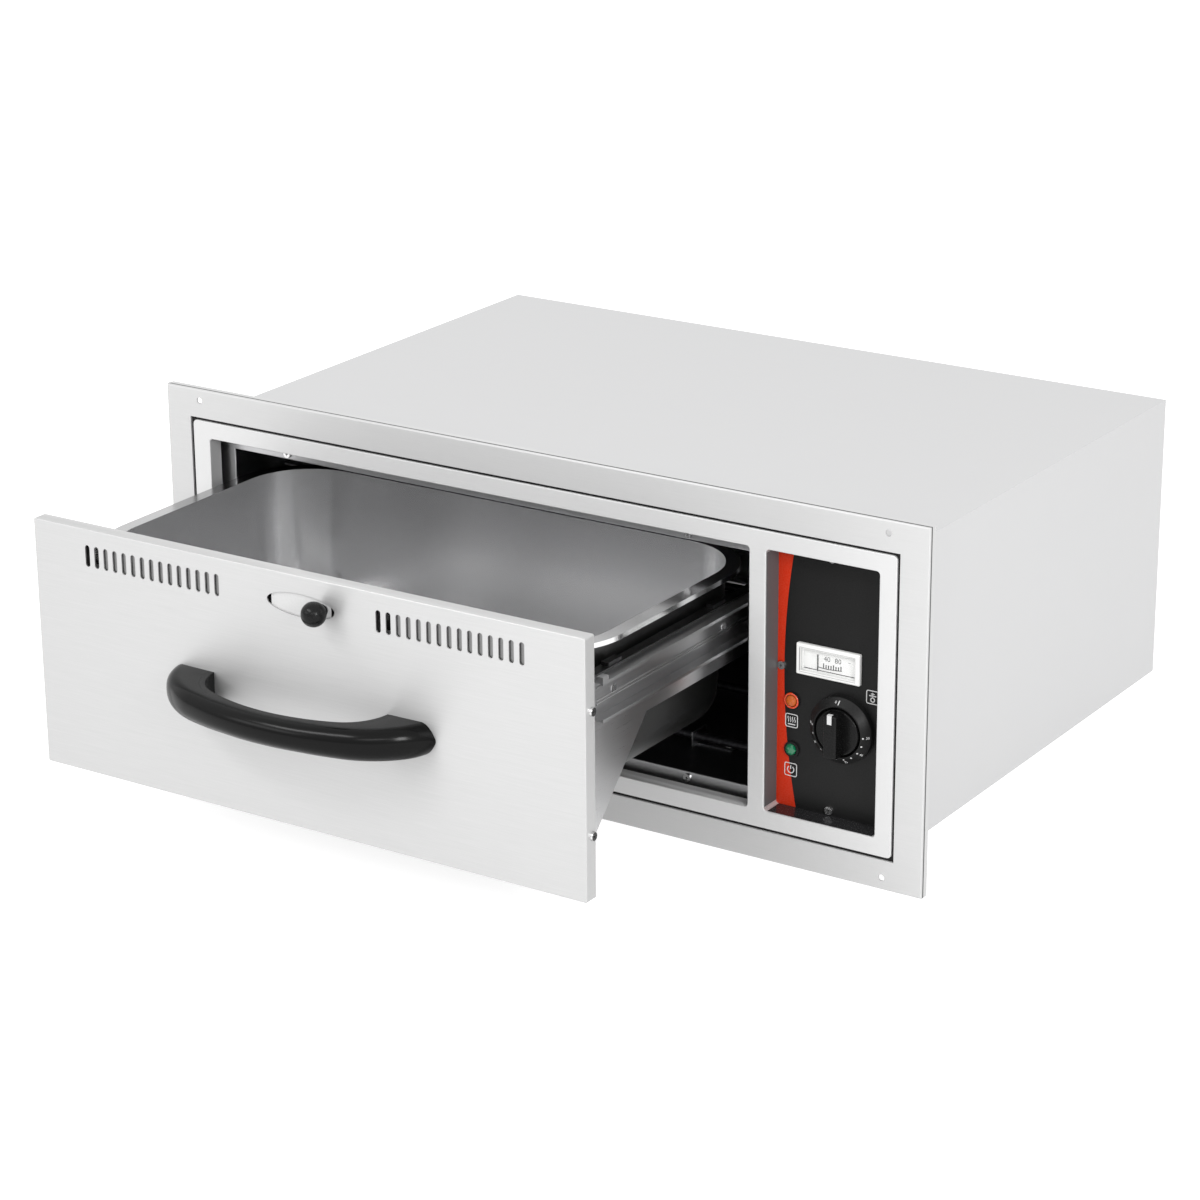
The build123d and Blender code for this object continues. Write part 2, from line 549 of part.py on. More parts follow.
# ================================================================ bulkhead, liner, divider, insulation
with BuildPart() as front_bulkhead:
    with BuildSketch(front_plane(BULKHEAD_Y)):
        Rectangle(2 * (INSIDE_X - CASING_SHEET), 2 * INSIDE_Z)
        with Locations((MOUTH_X, LINER_Z)):
            Rectangle(LINER_WIDTH + 2 * LINER_SHEET, LINER_HEIGHT + 2 * LINER_SHEET, mode=Mode.SUBTRACT)
        with Locations((GAUGE_X, GAUGE_Z)):
            Rectangle(GAUGE_WIDTH - GAUGE_FRAME, GAUGE_HEIGHT - GAUGE_FRAME + 1, mode=Mode.SUBTRACT)
        with Locations((KNOB_X, KNOB_Z)):
            Circle(BUSHING_RADIUS + TOUCH, mode=Mode.SUBTRACT)
        with Locations((LAMP_X, AMBER_Z), (LAMP_X, GREEN_Z)):
            Circle(LAMP_TUBE_RADIUS + TOUCH, mode=Mode.SUBTRACT)
        with Locations(*(LINER_SCREWS + PANEL_SCREWS)):
            Circle(SCREW_HOLE_RADIUS, mode=Mode.SUBTRACT)
    extrude(amount=-BULKHEAD_SHEET)
    for side in (-1, 1):
        edge_x = side * (INSIDE_X - CASING_SHEET)
        block(min(edge_x, edge_x - side * BULKHEAD_SHEET), max(edge_x, edge_x - side * BULKHEAD_SHEET),
              BULKHEAD_Y, BULKHEAD_BACK_Y + INSULATION_FRONT_GAP / 2, -INSIDE_Z, INSIDE_Z)
front_bulkhead.part.label = "front_bulkhead"
export_step(front_bulkhead.part, "parts/front_bulkhead.step")

with BuildPart() as liner:
    with BuildSketch(front_plane(LINER_FLANGE_Y)):
        with Locations((MOUTH_X, LINER_Z)):
            Rectangle(LINER_WIDTH + 2 * LINER_SHEET, LINER_HEIGHT + 2 * LINER_SHEET)
    extrude(amount=-(LINER_BACK_Y + LINER_SHEET - LINER_FLANGE_Y))
    block(LINER_LEFT_X - LINER_FLANGE, LINER_RIGHT_X + LINER_FLANGE_RIGHT, LINER_FLANGE_Y, BULKHEAD_Y,
          LINER_FLOOR_Z - LINER_FLANGE, LINER_TOP_Z + LINER_FLANGE)
    with BuildSketch(front_plane(LINER_FLANGE_Y)):
        with Locations((MOUTH_X, LINER_Z)):
            Rectangle(LINER_WIDTH, LINER_HEIGHT)
    extrude(amount=-(LINER_BACK_Y - LINER_FLANGE_Y), mode=Mode.SUBTRACT)
    lip_edges = liner.faces().sort_by(Axis.Y)[0].inner_wires()[0].edges()
    fillet(lip_edges, LINER_LIP_RADIUS)
    with BuildSketch(front_plane(LINER_FLANGE_Y)):
        with Locations(*LINER_SCREWS):
            Circle(SCREW_HOLE_RADIUS)
    extrude(amount=-LINER_SHEET, mode=Mode.SUBTRACT)
    # holes for the slide screws through both side walls, and for the rod ends and capillaries on the right
    for side in (-1, 1):
        wall_x = MOUTH_X + side * LINER_WIDTH / 2
        with BuildSketch(side_plane(wall_x)):
            with Locations(*[(y, SLIDE_Z) for y in SLIDE_SCREW_YS]):
                Circle(SCREW_HOLE_RADIUS)
        extrude(amount=side * LINER_SHEET, mode=Mode.SUBTRACT)
    with BuildSketch(side_plane(LINER_RIGHT_X)):
        with Locations((ROD_YS[0], ROD_Z), (ROD_YS[-1], ROD_Z)):
            Circle(ROD_RADIUS + TOUCH)
        with Locations(*CAPILLARY_HOLES):
            Circle(CAPILLARY_RADIUS + TOUCH)
    extrude(amount=LINER_SHEET, mode=Mode.SUBTRACT)
    with BuildSketch(Plane.XY.offset(LINER_FLOOR_Z)):
        with Locations(*[(x + BRACKET_SCREW_X, y + BRACKET_SCREW_Y) for x, y in BRACKET_PLACES]):
            Circle(SCREW_HOLE_RADIUS)
    extrude(amount=-LINER_SHEET, mode=Mode.SUBTRACT)
liner.part.label = "liner"
export_step(liner.part, "parts/liner.step")

with BuildPart() as control_divider:
    block(DIVIDER_X, COMPARTMENT_X, BULKHEAD_BACK_Y, BACK_INNER_Y - CASING_SHEET, -INSIDE_Z, INSIDE_Z)
    block(DIVIDER_X, DIVIDER_X + DIVIDER_FLANGE, BULKHEAD_BACK_Y, BULKHEAD_BACK_Y + DIVIDER_SHEET,
          -INSIDE_Z, INSIDE_Z)
    with BuildSketch(side_plane(DIVIDER_X)):
        with Locations((ROD_YS[0], ROD_Z), (ROD_YS[-1], ROD_Z)):
            Circle(ROD_RADIUS + TOUCH)
        with Locations(*CAPILLARY_HOLES):
            Circle(CAPILLARY_RADIUS + TOUCH)
    extrude(amount=DIVIDER_SHEET, mode=Mode.SUBTRACT)
control_divider.part.label = "control_divider"
export_step(control_divider.part, "parts/control_divider.step")

INSULATION_FRONT_Y = BULKHEAD_BACK_Y + INSULATION_FRONT_GAP
WRAP_LEFT_X = -(INSIDE_X - CASING_SHEET - INSULATION_GAP)
WRAP_RIGHT_X = DIVIDER_X - INSULATION_GAP
WRAP_HALF_Z = INSIDE_Z - INSULATION_GAP
LINER_OUT = LINER_SHEET + INSULATION_GAP
POCKET = SCREW_LENGTH
with BuildPart() as insulation_wrap:
    block(WRAP_LEFT_X, WRAP_RIGHT_X, INSULATION_FRONT_Y, LINER_BACK_Y, -WRAP_HALF_Z, WRAP_HALF_Z)
    block(LINER_LEFT_X - LINER_OUT, WRAP_RIGHT_X, INSULATION_FRONT_Y, LINER_BACK_Y,
          LINER_FLOOR_Z - LINER_OUT, LINER_TOP_Z + LINER_OUT, mode=Mode.SUBTRACT)
    # a channel past the slide screws' ends, and a pocket under each bracket screw
    block(LINER_LEFT_X - LINER_OUT - POCKET, LINER_LEFT_X, INSULATION_FRONT_Y, LINER_BACK_Y,
          SLIDE_Z - POCKET, SLIDE_Z + POCKET, mode=Mode.SUBTRACT)
    with BuildSketch(Plane.XY.offset(LINER_FLOOR_Z - LINER_OUT)):
        with Locations(*[(x + BRACKET_SCREW_X, y + BRACKET_SCREW_Y) for x, y in BRACKET_PLACES]):
            Circle(POCKET / 2)
    extrude(amount=-POCKET, mode=Mode.SUBTRACT)
insulation_wrap.part.label = "insulation_wrap"
export_step(insulation_wrap.part, "parts/insulation_wrap.step")

with BuildPart() as insulation_right:
    block(LINER_RIGHT_X + LINER_OUT, WRAP_RIGHT_X, INSULATION_FRONT_Y, LINER_BACK_Y,
          LINER_FLOOR_Z - LINER_SHEET, LINER_TOP_Z + LINER_SHEET)
    block(LINER_RIGHT_X, LINER_RIGHT_X + LINER_OUT + POCKET, INSULATION_FRONT_Y, LINER_BACK_Y,
          SLIDE_Z - POCKET, SLIDE_Z + POCKET, mode=Mode.SUBTRACT)
    with BuildSketch(side_plane(LINER_RIGHT_X)):
        with Locations((ROD_YS[0], ROD_Z), (ROD_YS[-1], ROD_Z)):
            Circle(ROD_RADIUS + CLEARANCE)
        with Locations(*CAPILLARY_HOLES):
            Circle(CAPILLARY_RADIUS + CLEARANCE)
    extrude(amount=RIGHT_INSULATION + 2 * LINER_OUT, mode=Mode.SUBTRACT)
insulation_right.part.label = "insulation_right"
export_step(insulation_right.part, "parts/insulation_right.step")

with BuildPart() as insulation_rear:
    block(WRAP_LEFT_X + TRAY_EDGE, WRAP_RIGHT_X, LINER_BACK_Y + LINER_OUT,
          BACK_INNER_Y - CASING_SHEET - INSULATION_GAP, -WRAP_HALF_Z + TRAY_EDGE, WRAP_HALF_Z - TRAY_EDGE)
insulation_rear.part.label = "insulation_rear"
export_step(insulation_rear.part, "parts/insulation_rear.step")

# ================================================================ heating element
with BuildPart() as heating_element:
    with BuildLine() as rod_path:
        point = (ROD_END_X, ROD_YS[0], ROD_Z)
        for run, y in enumerate(ROD_YS):
            last = run == ROD_RUNS - 1
            far_x = ROD_LEFT_X if run % 2 == 0 else ROD_RIGHT_X
            end_x = ROD_END_X if last and run % 2 == 1 else far_x
            Line(point, (end_x, y, ROD_Z))
            if not last:
                turn = -1 if run % 2 == 0 else 1
                middle = (far_x + turn * ROD_PITCH / 2, y + ROD_PITCH / 2, ROD_Z)
                ThreePointArc((far_x, y, ROD_Z), middle, (far_x, y + ROD_PITCH, ROD_Z))
                point = (far_x, y + ROD_PITCH, ROD_Z)
    with BuildSketch(Plane(origin=(ROD_END_X, ROD_YS[0], ROD_Z), z_dir=(-1, 0, 0))):
        Circle(ROD_RADIUS)
    sweep()
heating_element.part.label = "heating_element"
export_step(heating_element.part, "parts/heating_element.step")

PIN_RADIUS = 2.0
PIN_LENGTH = 14.0
COLLAR_LENGTH = 4.0
COLLAR_RADIUS = 5.5
with BuildPart() as element_terminals:
    for y in (ROD_YS[0], ROD_YS[-1]):
        with BuildSketch(Plane(origin=(ROD_END_X, y, ROD_Z), z_dir=(1, 0, 0))):
            Circle(COLLAR_RADIUS)
        extrude(amount=COLLAR_LENGTH)
        with BuildSketch(Plane(origin=(ROD_END_X, y, ROD_Z), z_dir=(1, 0, 0))):
            Circle(PIN_RADIUS)
        extrude(amount=PIN_LENGTH)
        with BuildSketch(Plane(origin=(ROD_END_X + PIN_LENGTH * 0.6, y, ROD_Z), z_dir=(1, 0, 0))):
            RegularPolygon(2 * PIN_RADIUS, 6)
        extrude(amount=PIN_LENGTH / 5)
element_terminals.part.label = "element_terminals"
export_step(element_terminals.part, "parts/element_terminals.step")

with BuildPart() as element_brackets:
    for x, y in BRACKET_PLACES:
        block(x, x + BRACKET_SHEET, y - BRACKET_WIDTH / 2, y + BRACKET_WIDTH,
              LINER_FLOOR_Z, ROD_Z + ROD_RADIUS + BRACKET_SHEET)
        block(x, x + BRACKET_FOOT, y, y + BRACKET_WIDTH, LINER_FLOOR_Z, LINER_FLOOR_Z + BRACKET_SHEET)
        with BuildSketch(side_plane(x)):
            with Locations((y, ROD_Z)):
                Circle(ROD_RADIUS + TOUCH)
        extrude(amount=BRACKET_SHEET, mode=Mode.SUBTRACT)
        with BuildSketch(Plane.XY.offset(LINER_FLOOR_Z)):
            with Locations((x + BRACKET_SCREW_X, y + BRACKET_SCREW_Y)):
                Circle(SCREW_HOLE_RADIUS)
        extrude(amount=BRACKET_SHEET, mode=Mode.SUBTRACT)
element_brackets.part.label = "element_brackets"
export_step(element_brackets.part, "parts/element_brackets.step")

# ================================================================ controls
PANEL_WIDTH = CONTROL_WIDTH + 2 * CONTROL_PANEL_MARGIN_X
with BuildPart() as control_panel:
    with BuildSketch(front_plane(PANEL_Y)):
        with Locations((CONTROL_X, 0)):
            Rectangle(PANEL_WIDTH, CONTROL_PANEL_HEIGHT)
        with Locations((GAUGE_X, GAUGE_Z)):
            Rectangle(GAUGE_WIDTH - GAUGE_FRAME, GAUGE_HEIGHT - GAUGE_FRAME + 1, mode=Mode.SUBTRACT)
        with Locations((KNOB_X, KNOB_Z)):
            Circle(BUSHING_RADIUS + TOUCH, mode=Mode.SUBTRACT)
        with Locations((LAMP_X, AMBER_Z), (LAMP_X, GREEN_Z)):
            Circle(LAMP_TUBE_RADIUS + TOUCH, mode=Mode.SUBTRACT)
        with Locations(*PANEL_SCREWS):
            Circle(SCREW_HOLE_RADIUS, mode=Mode.SUBTRACT)
    extrude(amount=-PANEL_SHEET)
control_panel.part.label = "control_panel"
export_step(control_panel.part, "parts/control_panel.step")

# Coned ring round the knob, with a thin floor against the panel.
with BuildPart() as dial_ring:
    with BuildSketch(Plane.XY.offset(KNOB_Z)):
        with BuildLine():
            Polyline(
                (KNOB_X + BUSHING_RADIUS + TOUCH, PANEL_Y),
                (KNOB_X + DIAL_RADIUS, PANEL_Y),
                (KNOB_X + DIAL_RADIUS, DIAL_EDGE_Y),
                (KNOB_X + DIAL_CREST_RADIUS, DIAL_CREST_Y),
                (KNOB_X + DIAL_BORE_RADIUS, DIAL_CREST_Y),
                (KNOB_X + DIAL_BORE_RADIUS, PANEL_Y - DIAL_SHEET),
                (KNOB_X + BUSHING_RADIUS + TOUCH, PANEL_Y - DIAL_SHEET),
                close=True,
            )
        make_face()
    revolve(axis=Axis((KNOB_X, 0, KNOB_Z), (0, 1, 0)))
dial_ring.part.label = "dial_ring"
export_step(dial_ring.part, "parts/dial_ring.step")

with BuildPart() as thermostat_knob:
    with BuildSketch(front_plane(KNOB_BACK_Y)):
        with Locations((KNOB_X, KNOB_Z)):
            Circle(KNOB_RADIUS)
    extrude(amount=KNOB_BACK_Y - KNOB_FRONT_Y, taper=3)
    fillet(thermostat_knob.faces().sort_by(Axis.Y)[0].edges(), 1.2)
    with BuildSketch(front_plane(KNOB_FRONT_Y + 1)):
        with Locations((KNOB_X, KNOB_Z)):
            Rectangle(GRIP_WIDTH, GRIP_LENGTH)
            Circle(KNOB_RADIUS - 0.8, mode=Mode.INTERSECT)
    extrude(amount=KNOB_FRONT_Y + 1 - GRIP_FRONT_Y, taper=2)
    fillet(thermostat_knob.faces().sort_by(Axis.Y)[0].edges(), 1.5)
    # hollow skirt with a hub round the shaft
    with BuildSketch(front_plane(KNOB_BACK_Y)):
        with Locations((KNOB_X, KNOB_Z)):
            Circle(KNOB_RADIUS - 2.2)
            Circle(BUSHING_RADIUS + 3, mode=Mode.SUBTRACT)
    extrude(amount=KNOB_BACK_Y - KNOB_FRONT_Y - 2.5, mode=Mode.SUBTRACT)
    with BuildSketch(front_plane(KNOB_BACK_Y)):
        with Locations((KNOB_X, KNOB_Z)):
            Circle(SHAFT_RADIUS + 0.02)
    extrude(amount=KNOB_BACK_Y - KNOB_FRONT_Y + 4, mode=Mode.SUBTRACT)
thermostat_knob.part.label = "thermostat_knob"
export_step(thermostat_knob.part, "parts/thermostat_knob.step")

SHAFT_BACK_Y = BULKHEAD_BACK_Y + THERMOSTAT_DEPTH / 2
with BuildPart() as thermostat_shaft:
    with BuildSketch(front_plane(SHAFT_BACK_Y)):
        with Locations((KNOB_X, KNOB_Z)):
            Circle(SHAFT_RADIUS)
    extrude(amount=SHAFT_BACK_Y - KNOB_FRONT_Y + 3)
thermostat_shaft.part.label = "thermostat_shaft"
export_step(thermostat_shaft.part, "parts/thermostat_shaft.step")

THERMOSTAT_BACK_Y = BULKHEAD_BACK_Y + THERMOSTAT_DEPTH
with BuildPart() as thermostat_body:
    with BuildSketch(front_plane(BULKHEAD_BACK_Y)):
        with Locations((KNOB_X, KNOB_Z)):
            RectangleRounded(THERMOSTAT_SIZE, THERMOSTAT_SIZE, 3)
    extrude(amount=-THERMOSTAT_DEPTH)
    with BuildSketch(front_plane(BULKHEAD_BACK_Y)):
        with Locations((KNOB_X, KNOB_Z)):
            Circle(BUSHING_RADIUS)
    extrude(amount=BULKHEAD_BACK_Y - PANEL_Y + DIAL_SHEET)
    with BuildSketch(front_plane(PANEL_Y - DIAL_SHEET)):
        with Locations((KNOB_X, KNOB_Z)):
            Circle(SHAFT_RADIUS + SHAFT_PLAY)
    extrude(amount=-(SHAFT_BACK_Y + 1 - PANEL_Y + DIAL_SHEET), mode=Mode.SUBTRACT)
thermostat_body.part.label = "thermostat_body"
export_step(thermostat_body.part, "parts/thermostat_body.step")

LAMP_HOLDER_Y = PANEL_Y - 1.8
with BuildPart() as lamp_holders:
    for z in (AMBER_Z, GREEN_Z):
        with BuildSketch(front_plane(PANEL_Y)):
            with Locations((LAMP_X, z)):
                Circle(LAMP_RADIUS)
        extrude(amount=PANEL_Y - LAMP_HOLDER_Y, taper=10)
        with BuildSketch(front_plane(PANEL_Y)):
            with Locations((LAMP_X, z)):
                Circle(LAMP_TUBE_RADIUS)
        extrude(amount=-LAMP_DEPTH)
        with BuildSketch(front_plane(LAMP_HOLDER_Y)):
            with Locations((LAMP_X, z)):
                Circle(LAMP_TUBE_RADIUS - LAMP_WALL)
        extrude(amount=-(LAMP_DEPTH * 0.8), mode=Mode.SUBTRACT)
lamp_holders.part.label = "lamp_holders"
export_step(lamp_holders.part, "parts/lamp_holders.step")

LENS_RADIUS = LAMP_TUBE_RADIUS - LAMP_WALL - TOUCH / 2
LENS_DOME = 2.6
for lamp_name, z in (("amber_lamp", AMBER_Z), ("green_lamp", GREEN_Z)):
    with BuildPart() as lamp:
        with BuildSketch(front_plane(LAMP_HOLDER_Y)):
            with Locations((LAMP_X, z)):
                Circle(LENS_RADIUS)
        extrude(amount=-LAMP_DEPTH / 2)
        with BuildSketch(front_plane(LAMP_HOLDER_Y)):
            with Locations((LAMP_X, z)):
                Circle(LENS_RADIUS)
        extrude(amount=LENS_DOME)
        fillet(lamp.faces().sort_by(Axis.Y)[0].edges(), LENS_DOME * 0.9)
    lamp.part.label = lamp_name
    export_step(lamp.part, f"parts/{lamp_name}.step")

# ---------------------------------------------------------------- gauge
GAUGE_FRONT_Y = PANEL_Y - GAUGE_PROUD
GAUGE_LENS_Y = GAUGE_FRONT_Y + 1.2
GAUGE_LENS_SHEET = 0.8
GAUGE_BODY_WIDTH = GAUGE_WIDTH - GAUGE_FRAME - 0.6
GAUGE_BODY_HEIGHT = GAUGE_HEIGHT - GAUGE_FRAME + 0.4
GAUGE_BODY_Y = GAUGE_LENS_Y + GAUGE_LENS_SHEET + TOUCH
GAUGE_WALL = 1.0
DIAL_PLATE_Y = PANEL_Y + 1.0
DIAL_PLATE_SHEET = 0.6
DIAL_PLATE_BOTTOM = 2.2
with BuildPart() as gauge_bezel:
    with BuildSketch(front_plane(PANEL_Y)):
        with Locations((GAUGE_X, GAUGE_Z)):
            RectangleRounded(GAUGE_WIDTH, GAUGE_HEIGHT, 1.2)
    extrude(amount=GAUGE_PROUD)
    chamfer(gauge_bezel.faces().sort_by(Axis.Y)[0].edges(), 0.8)
    with BuildSketch(front_plane(GAUGE_FRONT_Y)):
        with Locations((GAUGE_X, GAUGE_Z)):
            Rectangle(GAUGE_WIDTH - 2 * GAUGE_FRAME, GAUGE_HEIGHT - 2 * GAUGE_FRAME + 1)
    extrude(amount=-GAUGE_PROUD, mode=Mode.SUBTRACT)
    with BuildSketch(front_plane(GAUGE_LENS_Y)):
        with Locations((GAUGE_X, GAUGE_Z)):
            Rectangle(GAUGE_BODY_WIDTH + 2 * TOUCH, GAUGE_BODY_HEIGHT + 2 * TOUCH)
    extrude(amount=-GAUGE_PROUD, mode=Mode.SUBTRACT)
gauge_bezel.part.label = "gauge_bezel"
export_step(gauge_bezel.part, "parts/gauge_bezel.step")

with BuildPart() as gauge_lens:
    with BuildSketch(front_plane(GAUGE_LENS_Y)):
        with Locations((GAUGE_X, GAUGE_Z)):
            Rectangle(GAUGE_BODY_WIDTH, GAUGE_BODY_HEIGHT)
    extrude(amount=-GAUGE_LENS_SHEET)
gauge_lens.part.label = "gauge_lens"
export_step(gauge_lens.part, "parts/gauge_lens.step")

with BuildPart() as gauge_body:
    with BuildSketch(front_plane(GAUGE_BODY_Y)):
        with Locations((GAUGE_X, GAUGE_Z)):
            Rectangle(GAUGE_BODY_WIDTH, GAUGE_BODY_HEIGHT)
    extrude(amount=-GAUGE_BODY_DEPTH)
    with BuildSketch(front_plane(GAUGE_BODY_Y)):
        with Locations((GAUGE_X, GAUGE_Z)):
            Rectangle(GAUGE_BODY_WIDTH - 2 * GAUGE_WALL, GAUGE_BODY_HEIGHT - 2 * GAUGE_WALL)
    extrude(amount=-(GAUGE_BODY_DEPTH - GAUGE_WALL), mode=Mode.SUBTRACT)
gauge_body.part.label = "gauge_body"
export_step(gauge_body.part, "parts/gauge_body.step")

GAUGE_INNER_WIDTH = GAUGE_BODY_WIDTH - 2 * GAUGE_WALL
GAUGE_INNER_HEIGHT = GAUGE_BODY_HEIGHT - 2 * GAUGE_WALL
GAUGE_INNER_BOTTOM = GAUGE_Z - GAUGE_INNER_HEIGHT / 2
with BuildPart() as gauge_dial:
    block(GAUGE_X - GAUGE_INNER_WIDTH / 2, GAUGE_X + GAUGE_INNER_WIDTH / 2,
          DIAL_PLATE_Y, DIAL_PLATE_Y + DIAL_PLATE_SHEET,
          GAUGE_INNER_BOTTOM + DIAL_PLATE_BOTTOM, GAUGE_Z + GAUGE_INNER_HEIGHT / 2)
gauge_dial.part.label = "gauge_dial"
export_step(gauge_dial.part, "parts/gauge_dial.step")

POINTER_TOP_Z = 23.6
POINTER_SHEET = 0.5
POINTER_FOOT = 1.2
CARRIER_WIDTH = 5.0
CARRIER_HEIGHT = 7.0
CARRIER_DEPTH = 5.0
with BuildPart() as gauge_pointer:
    pointer_y = DIAL_PLATE_Y - CLEARANCE - POINTER_SHEET
    foot_z = GAUGE_INNER_BOTTOM + (DIAL_PLATE_BOTTOM - POINTER_FOOT) / 2
    carrier_y = DIAL_PLATE_Y + DIAL_PLATE_SHEET + CLEARANCE
    block(POINTER_X - POINTER_WIDTH / 2, POINTER_X + POINTER_WIDTH / 2, pointer_y, pointer_y + POINTER_SHEET,
          foot_z, POINTER_TOP_Z)
    block(POINTER_X - POINTER_WIDTH / 2, POINTER_X + POINTER_WIDTH / 2, pointer_y, carrier_y + CARRIER_DEPTH,
          foot_z, foot_z + POINTER_FOOT)
    block(POINTER_X - CARRIER_WIDTH / 2, POINTER_X + CARRIER_WIDTH / 2, carrier_y, carrier_y + CARRIER_DEPTH,
          foot_z, foot_z + CARRIER_HEIGHT)
gauge_pointer.part.label = "gauge_pointer"
export_step(gauge_pointer.part, "parts/gauge_pointer.step")

# ---------------------------------------------------------------- capillaries with their bulbs
def capillary(start, bulb_z):
    """Tube from the back of an instrument, along the compartment, through the divider to its bulb."""
    with BuildLine() as route:
        FilletPolyline(
            start,
            (start[0], BULB_Y, start[2]),
            (start[0], BULB_Y, bulb_z),
            (BULB_RIGHT_X - CAPILLARY_BEND, BULB_Y, bulb_z),
            radius=CAPILLARY_BEND,
        )
    with BuildSketch(Plane(origin=start, z_dir=(0, 1, 0))) as bore:
        Circle(CAPILLARY_RADIUS)
    sweep(bore.sketch, path=route.line)
    with BuildSketch(Plane(origin=(BULB_RIGHT_X, BULB_Y, bulb_z), z_dir=(-1, 0, 0))) as bulb:
        Circle(BULB_RADIUS)
    extrude(bulb.sketch, amount=BULB_LENGTH)


with BuildPart() as thermostat_capillary:
    capillary((KNOB_X + 14, THERMOSTAT_BACK_Y, KNOB_Z + 12), THERMOSTAT_BULB_Z)
thermostat_capillary.part.label = "thermostat_capillary"
export_step(thermostat_capillary.part, "parts/thermostat_capillary.step")

with BuildPart() as gauge_capillary:
    capillary((GAUGE_X - 14, GAUGE_BODY_Y + GAUGE_BODY_DEPTH, GAUGE_Z), GAUGE_BULB_Z)
gauge_capillary.part.label = "gauge_capillary"
export_step(gauge_capillary.part, "parts/gauge_capillary.step")

CLIP_WIDTH = 8.0
CLIP_SHEET = 1.5
with BuildPart() as bulb_clips:
    for share in (0.2, 0.8):
        clip_x = BULB_RIGHT_X - BULB_LENGTH * share
        with BuildSketch(side_plane(clip_x - CLIP_WIDTH / 2)):
            for bulb_z in (THERMOSTAT_BULB_Z, GAUGE_BULB_Z):
                with Locations((BULB_Y, bulb_z)):
                    Circle(BULB_RADIUS + CLIP_SHEET)
            with Locations(((BULB_Y + LINER_BACK_Y) / 2, (THERMOSTAT_BULB_Z + GAUGE_BULB_Z) / 2)):
                Rectangle(LINER_BACK_Y - BULB_Y, THERMOSTAT_BULB_Z - GAUGE_BULB_Z)
            for bulb_z in (THERMOSTAT_BULB_Z, GAUGE_BULB_Z):
                with Locations((BULB_Y, bulb_z)):
                    Circle(BULB_RADIUS + TOUCH / 2, mode=Mode.SUBTRACT)
        extrude(amount=CLIP_WIDTH)
bulb_clips.part.label = "bulb_clips"
export_step(bulb_clips.part, "parts/bulb_clips.step")

# ---------------------------------------------------------------- terminal block and leads
BLOCK_LEFT_X = COMPARTMENT_X + 22.8
BLOCK_X = (BLOCK_LEFT_X, BLOCK_LEFT_X + 62)
BLOCK_Y = (CASING_BACK_Y - 62, CASING_BACK_Y - 34)
BLOCK_HEIGHT = 20.0
BLOCK_TOP_Z = -INSIDE_Z + BLOCK_HEIGHT
with BuildPart() as terminal_block:
    block(BLOCK_X[0], BLOCK_X[1], BLOCK_Y[0], BLOCK_Y[1], -INSIDE_Z, BLOCK_TOP_Z)
    with BuildSketch(Plane.XY.offset(BLOCK_TOP_Z)):
        with Locations(*[(BLOCK_X[0] + 20 * slot, BLOCK_Y[0] + 5) for slot in (1, 2)]):
            Rectangle(2, 8)
    extrude(amount=-6, mode=Mode.SUBTRACT)
terminal_block.part.label = "terminal_block"
export_step(terminal_block.part, "parts/terminal_block.step")

LAMP_BACK_Y = PANEL_Y + LAMP_DEPTH
PIN_END_X = ROD_END_X + PIN_LENGTH
LEAD_XS = [BLOCK_LEFT_X + along for along in (12, 28, 46)]
LEAD_YS = [BLOCK_Y[0] + along for along in (4, 14, 18, 22)]
SWITCH_LEAD_Z = KNOB_Z - 15
SWITCH_LEAD_Y = THERMOSTAT_BACK_Y + 30
ROD_LEAD_Z = ROD_Z + 4
LEAD_ROUTES = [
    [(KNOB_X - 8, THERMOSTAT_BACK_Y, SWITCH_LEAD_Z), (KNOB_X - 8, SWITCH_LEAD_Y, SWITCH_LEAD_Z),
     (LEAD_XS[0], SWITCH_LEAD_Y, SWITCH_LEAD_Z), (LEAD_XS[0], LEAD_YS[3], SWITCH_LEAD_Z),
     (LEAD_XS[0], LEAD_YS[3], BLOCK_TOP_Z)],
    [(LAMP_X, LAMP_BACK_Y, AMBER_Z), (LAMP_X, LEAD_YS[1], AMBER_Z), (LAMP_X, LEAD_YS[1], BLOCK_TOP_Z)],
    [(LAMP_X, LAMP_BACK_Y, GREEN_Z), (LAMP_X, LEAD_YS[0], GREEN_Z), (LAMP_X, LEAD_YS[0], BLOCK_TOP_Z)],
    [(PIN_END_X, ROD_YS[0], ROD_Z), (LEAD_XS[1], ROD_YS[0], ROD_Z),
     (LEAD_XS[1], LEAD_YS[2], ROD_LEAD_Z), (LEAD_XS[1], LEAD_YS[2], BLOCK_TOP_Z)],
    [(PIN_END_X, ROD_YS[-1], ROD_Z), (LEAD_XS[2], ROD_YS[-1], ROD_Z),
     (LEAD_XS[2], LEAD_YS[2], ROD_LEAD_Z), (LEAD_XS[2], LEAD_YS[2], BLOCK_TOP_Z)],
]
with BuildPart() as wiring:
    for route in LEAD_ROUTES:
        first, second = Vector(*route[0]), Vector(*route[1])
        with BuildLine() as lead_path:
            FilletPolyline(*route, radius=LEAD_BEND if route[-2][2] - route[-1][2] > 2 * LEAD_BEND else 4)
        with BuildSketch(Plane(origin=first, z_dir=second - first)):
            Circle(LEAD_RADIUS)
        sweep()
wiring.part.label = "wiring"
export_step(wiring.part, "parts/wiring.step")

